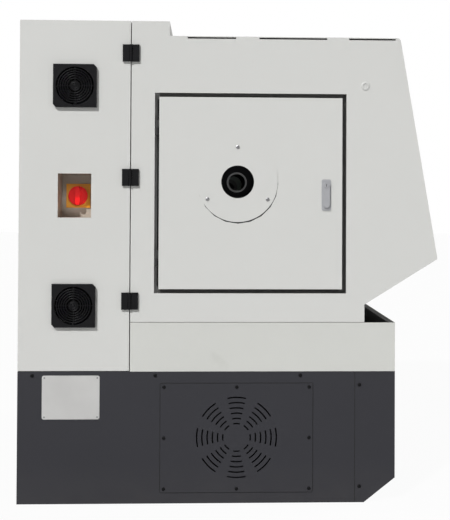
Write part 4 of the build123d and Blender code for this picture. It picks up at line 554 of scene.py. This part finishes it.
# Painted shade, lighter: the channel's wall on the hinge side is painted a paler grey than the rest.
lighter_shade_side = (high_y - 0.013, high_y + skin)
frame_paint = boxed(frame_paint, (0.5, 0.5, 0.49), (painted_shade_channel[0][0], lighter_shade_side[0], painted_shade_channel[0][2]),
                    (painted_shade_channel[1][0], lighter_shade_side[1], painted_shade_channel[1][2]))
frame_paint = boxed(frame_paint, (0.03, 0.03, 0.03), *fixed_knuckles)
dress(frame_paint, "left_end_panel")
dress(door_paint, "spindle_door")

# Cabinet end door: a pan in the same paint. The pocket pressed into it for the main switch is painted darker
# and warmer inside, a painted shade with warm light thrown back from the yellow switch plate.
end_low, end_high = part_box("cabinet_end_door")
switch_low, switch_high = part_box("isolator_plate")
pocket_y, pocket_z = (switch_low.y + switch_high.y) / 2, (switch_low.z + switch_high.z) / 2
pocket_half_y, pocket_half_z = 0.0512, 0.0675
pocket = ((end_low.x + 0.0008, pocket_y - pocket_half_y, pocket_z - pocket_half_z),
          (switch_high.x + 0.02, pocket_y + pocket_half_y, pocket_z + pocket_half_z))
dress(boxed(panel_coat("end_door_paint"), (0.5, 0.44, 0.37), *pocket), "cabinet_end_door")

# Hole plug: a low domed cap of plastic in the panel's colour, pressed into an unused hole near the top of the
# end panel.
plug_white = coat("plug_white", (0.6, 0.603, 0.585), 0.02, 50.0, 0.45, 900.0, 0.00003)
plug_y, plug_z = -0.4108, 1.2588
piece("hole_plug", screw_heads([(panel_low.x, plug_y, plug_z)], END, 0.0135, 0.0026, 0), plug_white,
      "machine_frame")


# Spindle door: a folded pan that shuts on a soft black seal round the frame's lip. Its round cover plate is
# held by three plated screws, and a black ring set low behind it shows below the plate as a painted shadow.
seal_at, seal_inset = (panel_low.x + 0.028, opening_y, opening_z), 0.026
piece("spindle_door_seal", [ring_seal(seal_at, END, opening_wide - seal_inset, opening_tall - seal_inset,
                                      0.012, 0.012, 0.0016)], seal_rubber, "machine_frame")
cover_low, cover_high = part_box("spindle_cover")
cover_reach = (cover_high.y - cover_low.y) / 2
# Painted shadow: a black ring, moved down and aside, peeks out below the cover plate.
shadow_ring_wide, shadow_ring_shift, shadow_ring_drop = 0.02, 0.0013, 0.0048
shadow_ring_at = (cover_high.x, (cover_low.y + cover_high.y) / 2 - shadow_ring_shift,
           (cover_low.z + cover_high.z) / 2 - shadow_ring_drop)
piece("cover_shadow_ring", [ring_seal(shadow_ring_at, END, 2 * cover_reach - shadow_ring_wide, 2 * cover_reach - shadow_ring_wide,
                               cover_reach - shadow_ring_wide / 2, shadow_ring_wide, 0.0012)], seal_rubber, "spindle_door")
around = np.radians([90, 210, 330])
bolt_reach = 0.105
cover_bolts = np.stack([np.full(3, cover_low.x), axis_y + bolt_reach * np.cos(around),
                        axis_z + bolt_reach * np.sin(around)], -1)
piece("spindle_cover_screws", screw_heads(cover_bolts, END, 0.0056, 0.003, 6), screw_steel, "spindle_door")

# Door lock: a satin plated die casting with a hanging paddle, clamped through the door. A key barrel with a
# slot across it sits at the paddle's upper end.
lock_metal = coat("lock_metal", (0.46, 0.465, 0.485), 0.05, 60.0, 0.36, 1500.0, 0.00004, 0.35)
dress(lock_metal, "lock_body", "lock_handle")
handle_low, handle_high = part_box("lock_handle")
lock_y, lock_z = -0.2922, 0.9564
angle = np.linspace(0, 2 * np.pi, 32, endpoint=False)
ring = np.array([0.0078, 0.0078, 0.0072, 0.0058, 0.0056, 0.0])
level = np.array([0.0, 0.0016, 0.0021, 0.0021, 0.0014, 0.0014])
barrel = np.stack([ring[:, None] * np.cos(angle), ring[:, None] * np.sin(angle),
                   np.broadcast_to(level[:, None], (6, 32))], -1) @ END + [handle_low.x, lock_y, lock_z]
piece("lock_key_barrel", [barrel], lock_metal, "lock_handle")
slot_at = (handle_low.x - 0.0014, lock_y, lock_z)
piece("lock_key_slot", [slab(slot_at, END, 0.0016, 0.008, 0.0005, 0.0003, 0.0001)], seal_rubber,
      "lock_handle")

# Cabinet door fittings: moulded black hinges screwed on from inside, and two fans behind ringed guards of the
# same black plastic.
black_plastic = coat("black_plastic", (0.006, 0.006, 0.007), 0.2, 60.0, 0.55, 1100.0, 0.00012)
# Painted shade: the rotors get a darker, duller copy of the black plastic, for the shade behind the guards.
rotor_shaded_plastic = coat("rotor_shaded_plastic", (0.003, 0.003, 0.003), 0.2, 60.0, 0.7, 1100.0, 0.0001)
black_plastic.node_tree.nodes["Principled BSDF"].inputs["Specular IOR Level"].default_value = 0.16
rotor_shaded_plastic.node_tree.nodes["Principled BSDF"].inputs["Specular IOR Level"].default_value = 0.15
dress(black_plastic, "fixed_hinges", "door_hinges")


def ring_crowns(finish, middle, apart, first, step, reach, lift):
    """Rounds the guards' rings: a cosine of the distance from the nearer fan's axis, one wave to each ring,
    lifts the surface inside the bore. Mirroring about the middle level serves both fans."""
    tree = finish.node_tree
    shader = tree.nodes["Principled BSDF"]
    place = tree.nodes.new("ShaderNodeTexCoord")
    chain = [place.outputs["Object"]]
    for operation, value in (("SUBTRACT", middle), ("ABSOLUTE", None), ("SUBTRACT", (0, 0, apart / 2)),
                             ("MULTIPLY", (0, 1, 1)), ("LENGTH", None)):
        node = tree.nodes.new("ShaderNodeVectorMath")
        node.operation = operation
        tree.links.new(chain[-1], node.inputs[0])
        if value:
            node.inputs[1].default_value = value
        chain.append(node.outputs["Value" if operation == "LENGTH" else "Vector"])
    distance = chain[-1]
    for operation, value in (("SUBTRACT", first), ("MULTIPLY", 2 * math.pi / step), ("COSINE", 0.0)):
        node = tree.nodes.new("ShaderNodeMath")
        node.operation = operation
        node.inputs[1].default_value = value
        tree.links.new(chain[-1], node.inputs[0])
        chain.append(node.outputs["Value"])
    inside = tree.nodes.new("ShaderNodeMath")
    inside.operation = "LESS_THAN"
    inside.inputs[1].default_value = reach
    wave = tree.nodes.new("ShaderNodeMath")
    wave.operation = "MULTIPLY"
    crown = tree.nodes.new("ShaderNodeBump")
    crown.inputs["Distance"].default_value = lift
    tree.links.new(distance, inside.inputs[0])
    tree.links.new(chain[-1], wave.inputs[0])
    tree.links.new(inside.outputs["Value"], wave.inputs[1])
    tree.links.new(wave.outputs["Value"], crown.inputs["Height"])
    tree.links.new(shader.inputs["Normal"].links[0].from_socket, crown.inputs["Normal"])
    tree.links.new(crown.outputs["Normal"], shader.inputs["Normal"])
    return finish


guard_low, guard_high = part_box("cabinet_fans")
guard_size, bore_reach, hub_reach, ring_count = 0.13, 0.057, 0.0155, 6
fan_axis_y = (guard_low.y + guard_high.y) / 2
guard_plastic = coat("guard_plastic", (0.006, 0.006, 0.007), 0.2, 60.0, 0.4, 1100.0, 0.00008)
guard_plastic.node_tree.nodes["Principled BSDF"].inputs["Specular IOR Level"].default_value = 0.2
ring_step, ring_lift = (bore_reach - hub_reach) / ring_count, 0.0012
ring_crowns(guard_plastic, (0, fan_axis_y, (guard_low.z + guard_high.z) / 2),
            guard_high.z - guard_low.z - guard_size, hub_reach, ring_step, bore_reach, ring_lift)
dress(guard_plastic, "cabinet_fans")
dress(rotor_shaded_plastic, "fan_rotor_upper", "fan_rotor_lower")

# Main switch: a yellow plate and a red knob with a grip bar, both glossy mouldings, in the door's pocket. The
# switch body behind the pocket is black.
yellow_plastic = coat("yellow_plastic", (0.92, 0.4, 0.012), 0.05, 50.0, 0.4, 1400.0, 0.00004)
red_plastic = coat("red_plastic", (0.9, 0.004, 0.005), 0.06, 50.0, 0.36, 1400.0, 0.00004)
red_plastic.node_tree.nodes["Principled BSDF"].inputs["Specular IOR Level"].default_value = 0.25
green_plastic = coat("green_plastic", (0.02, 0.28, 0.06), 0.06, 50.0, 0.28, 1400.0, 0.00004)
switch_body = ((switch_low.x + 0.0042, switch_low.y - 0.01, switch_low.z - 0.01),
               (switch_high.x + 0.01, switch_high.y + 0.01, switch_high.z + 0.01))
dress(boxed(yellow_plastic, (0.02, 0.02, 0.022), *switch_body), "isolator_plate")
dress(red_plastic, "isolator_knob", "emergency_stop", "stop_key")
dress(green_plastic, "start_key")

# Rear cover screws: countersunk screws of plated steel along the edges of both plates, driven in until their
# flat heads are flush with the sheet.
cover_low, cover_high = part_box("rear_covers")
cover_pitch = 0.781
cover_wide = cover_high.x - cover_low.x - cover_pitch
rear_screws = []
for i in range(2):
    low = (cover_low.x + i * cover_pitch, 0, cover_low.z)
    high = (low[0] + cover_wide, 0, cover_high.z)
    rear_screws.append(edge_points(low, high, (1, cover_high.y), (0, 2), (4, 5), 0.011))
piece("rear_cover_screws", screw_heads(np.concatenate(rear_screws), REAR, 0.0055, 0.00008, 4), screw_steel,
      "machine_frame")

# Front door: a pan behind the leaning front, with a clear safety sheet in a black moulded seal. It hangs in
# two folded steel rails and has a black bow handle.
LEAN = np.array([[1, 0, 0], [0, 0.16813, 0.98576], [0, -0.98576, 0.16813]])


def on_front(x, s, n):
    """Point of the leaning front: x along the machine, s up the slope from the foremost fold and n out from
    the slope."""
    return np.array([0, -0.6324, 0.7342]) + np.array([x, s, n]) @ LEAN


clear_sheet = coat("clear_sheet", (0.86, 0.93, 0.91), 0.01, 3.0, 0.09, 30.0, 0.00001)
clear_sheet.node_tree.nodes["Principled BSDF"].inputs["Transmission Weight"].default_value = 0.96
clear_sheet.node_tree.nodes["Principled BSDF"].inputs["IOR"].default_value = 1.49
clear_sheet.node_tree.nodes["gloss"].inputs["To Min"].default_value = 0.015
clear_sheet.node_tree.nodes["gloss"].inputs["To Max"].default_value = 0.04
rail_steel = brushed("rail_steel", (0.45, 0.45, 0.45), (1, 16, 16), 0.35, 0.00003)
grip_black = coat("grip_black", (0.016, 0.016, 0.017), 0.15, 60.0, 0.42, 900.0, 0.0001)
dress(clear_sheet, "door_window")
dress(rail_steel, "door_rails")
dress(grip_black, "door_handle")
window_low, window_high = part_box("door_window")
window_x = (window_low.x + window_high.x) / 2
window_wide = window_high.x - window_low.x - 0.028
window_tall, window_s, window_sunk, seal_more = 0.33, 0.337, 0.01, 0.006
piece("window_seal", [ring_seal(on_front(window_x, window_s, -window_sunk), LEAN, window_wide + seal_more,
                                window_tall + seal_more, 0.029, 0.014, 0.0022)],
      seal_rubber, "front_door")

# Control panel: a folded box in dark grey paint with a display behind a thin bezel, rows of sealed keys, a
# yellow collar round the stop button and a pale dial of fifty marks round the hand pulse wheel.
console_paint = coat("console_paint", (0.1, 0.105, 0.11), 0.03, 4.0, 0.45, 700.0, 0.0001)
screen_glass = coat("screen_glass", (0.008, 0.012, 0.016), 0.2, 20.0, 0.14, 20.0, 0.00001)
key_plastic = coat("key_plastic", (0.5, 0.5, 0.48), 0.04, 60.0, 0.5, 900.0, 0.00004)
dress(console_paint, "control_panel")
dress(screen_glass, "panel_screen")
dress(black_plastic, "pulse_wheel")
panel_x0, panel_s0, panel_s1, panel_n = 0.26, 0.27, 0.65, 0.03
screen_wide, screen_tall, margin, bezel = 0.21, 0.16, 0.04, 0.008
screen_x, screen_s = panel_x0 + margin + screen_wide / 2, panel_s1 - margin - screen_tall / 2
screen_at = on_front(screen_x, screen_s, panel_n)
piece("screen_bezel", [ring_seal(screen_at, LEAN, screen_wide + bezel, screen_tall + bezel, 0.01, 0.012,
                                 0.0035)], black_plastic, "machine_frame")
key_tall, key_edge = 0.0028, 0.0009
keys = [slab(on_front(panel_x0 + 0.29 + 0.023 * i, screen_s + 0.075 - 0.024 * j, panel_n), LEAN, 0.017, 0.017,
             0.0025, key_tall, key_edge) for i in range(5) for j in range(6)]
soft_keys = [slab(on_front(screen_x + 0.042 * (i - 2), screen_s - 0.112, panel_n), LEAN, 0.026, 0.015, 0.0025,
                  key_tall, key_edge) for i in range(5)]
mode_keys = [slab(on_front(panel_x0 + 0.045 + 0.026 * i, panel_s0 + 0.036 + 0.028 * j, panel_n), LEAN, 0.02,
                  0.02, 0.003, key_tall, key_edge) for i in range(9) for j in range(3)]
piece("panel_keys", keys + soft_keys + mode_keys, key_plastic, "machine_frame")
stop_at, wheel_at = on_front(0.71, 0.5892, panel_n), on_front(0.695, 0.403, panel_n)
piece("stop_collar", [ring_seal(stop_at, LEAN, 0.049, 0.049, 0.0245, 0.006, 0.005)], yellow_plastic,
      "machine_frame")
piece("wheel_dial", [ring_seal(wheel_at, LEAN, 0.08, 0.08, 0.04, 0.009, 0.0008)], key_plastic,
      "machine_frame")


def dial_marks(at, face, radius, count, wide, long, low, high):
    """Marks on a dial: a small bar of four corners between two levels, turned about the centre in equal
    steps, as many as the count."""
    turn = np.arange(count) * 2 * np.pi / count
    side = np.array([[1, 1], [-1, 1], [-1, -1], [1, -1]])
    bars = []
    for a in turn:
        bar = np.stack([side * [wide / 2, long / 2] * s for s in (0, 1, 1, 0)])
        level = np.array([low, low, high, high])[:, None]
        x, y = bar[..., 0], bar[..., 1] + radius
        bars.append(np.stack([x * np.cos(a) - y * np.sin(a), x * np.sin(a) + y * np.cos(a),
                              np.broadcast_to(level, x.shape)], -1) @ face + at)
    return bars


piece("wheel_dial_marks", dial_marks(wheel_at, LEAN, 0.0405, 50, 0.0007, 0.005, 0.0006, 0.0011),
      black_plastic, "machine_frame")

# Floor and light: a pale studio floor and a soft even sky. One distant lamp from the upper left of the end
# view throws the short shadows beside the fan guards, a softer one fills the front, and a spot lights the
# switch.
floor_mesh = bpy.data.meshes.new("floor")
floor_mesh.from_pydata([(-30, -30, 0), (30, -30, 0), (30, 30, 0), (-30, 30, 0)], [], [(0, 1, 2, 3)])
floor = bpy.data.objects.new("floor", floor_mesh)
bpy.context.scene.collection.objects.link(floor)
floor_paint = coat("floor_paint", (0.55, 0.55, 0.55), 0.01, 0.6, 0.7, 40.0, 0.0001)
tree = floor_paint.node_tree
sight = tree.nodes.new("ShaderNodeLightPath")
glow = tree.nodes.new("ShaderNodeEmission")
blend = tree.nodes.new("ShaderNodeMixShader")
seen = tree.nodes.new("ShaderNodeMath")
seen.operation = "MULTIPLY"
seen.inputs[1].default_value = 0.95
tree.links.new(sight.outputs["Is Camera Ray"], seen.inputs[0])
tree.links.new(seen.outputs["Value"], blend.inputs[0])
tree.links.new(tree.nodes["Principled BSDF"].outputs["BSDF"], blend.inputs[1])
tree.links.new(glow.outputs["Emission"], blend.inputs[2])
tree.links.new(blend.outputs["Shader"], tree.nodes["Material Output"].inputs["Surface"])
floor_mesh.materials.append(floor_paint)

world = bpy.data.worlds.new("studio")
bpy.context.scene.world = world
world.use_nodes = True
sky = world.node_tree
sight = sky.nodes.new("ShaderNodeLightPath")
either = sky.nodes.new("ShaderNodeMath")
either.operation = "MAXIMUM"
strength = sky.nodes.new("ShaderNodeMapRange")
strength.inputs["To Min"].default_value = 0.3
strength.inputs["To Max"].default_value = 1.0
sky.links.new(sight.outputs["Is Camera Ray"], either.inputs[0])
sky.links.new(sight.outputs["Is Transmission Ray"], either.inputs[1])
sky.links.new(either.outputs["Value"], strength.inputs["Value"])
sky.links.new(strength.outputs["Result"], sky.nodes["Background"].inputs["Strength"])
sky.nodes["Background"].inputs["Color"].default_value = (1, 1, 1, 1)

for name, energy, spread, travel in (("key", 2.6, 3.5, (0.687, -0.357, -0.632)),
                                     ("fill", 1.1, 25.0, (-0.3, 0.8, -0.5))):
    lamp = bpy.data.lights.new(name, "SUN")
    lamp.energy = energy
    lamp.angle = math.radians(spread)
    light = bpy.data.objects.new(name, lamp)
    bpy.context.scene.collection.objects.link(light)
    light.location = [-5 * part for part in travel]
    light.rotation_euler = Vector(travel).to_track_quat("-Z", "Y").to_euler()
lamp = bpy.data.lights.new("pocket_spot", "SPOT")
lamp.energy = 33.0
lamp.shadow_soft_size = 0.02
lamp.spot_size = math.radians(2.8)
lamp.spot_blend = 0.4
spot = bpy.data.objects.new("pocket_spot", lamp)
bpy.context.scene.collection.objects.link(spot)
aim = Vector((1.5, 0.3, -0.32))
spot.location = Vector((end_low.x + 0.05, pocket_y, pocket_z)) - aim
spot.rotation_euler = aim.to_track_quat("-Z", "Y").to_euler()

# Camera: at the photograph's place, a little below the spindle's level, looking along the machine from its
# headstock end through a long lens.
view = bpy.data.cameras.new("view")
view.lens = 80.2
view.sensor_width = 36
view.shift_x = -0.0598
view.shift_y = -0.1502
camera = bpy.data.objects.new("view", view)
bpy.context.scene.collection.objects.link(camera)
camera.location = (-4.287, 0.0686, 0.9044)
camera.rotation_euler = [math.radians(a) for a in (91.009, -0.247, -92.425)]
bpy.context.scene.camera = camera
bpy.context.scene.view_settings.view_transform = "Standard"
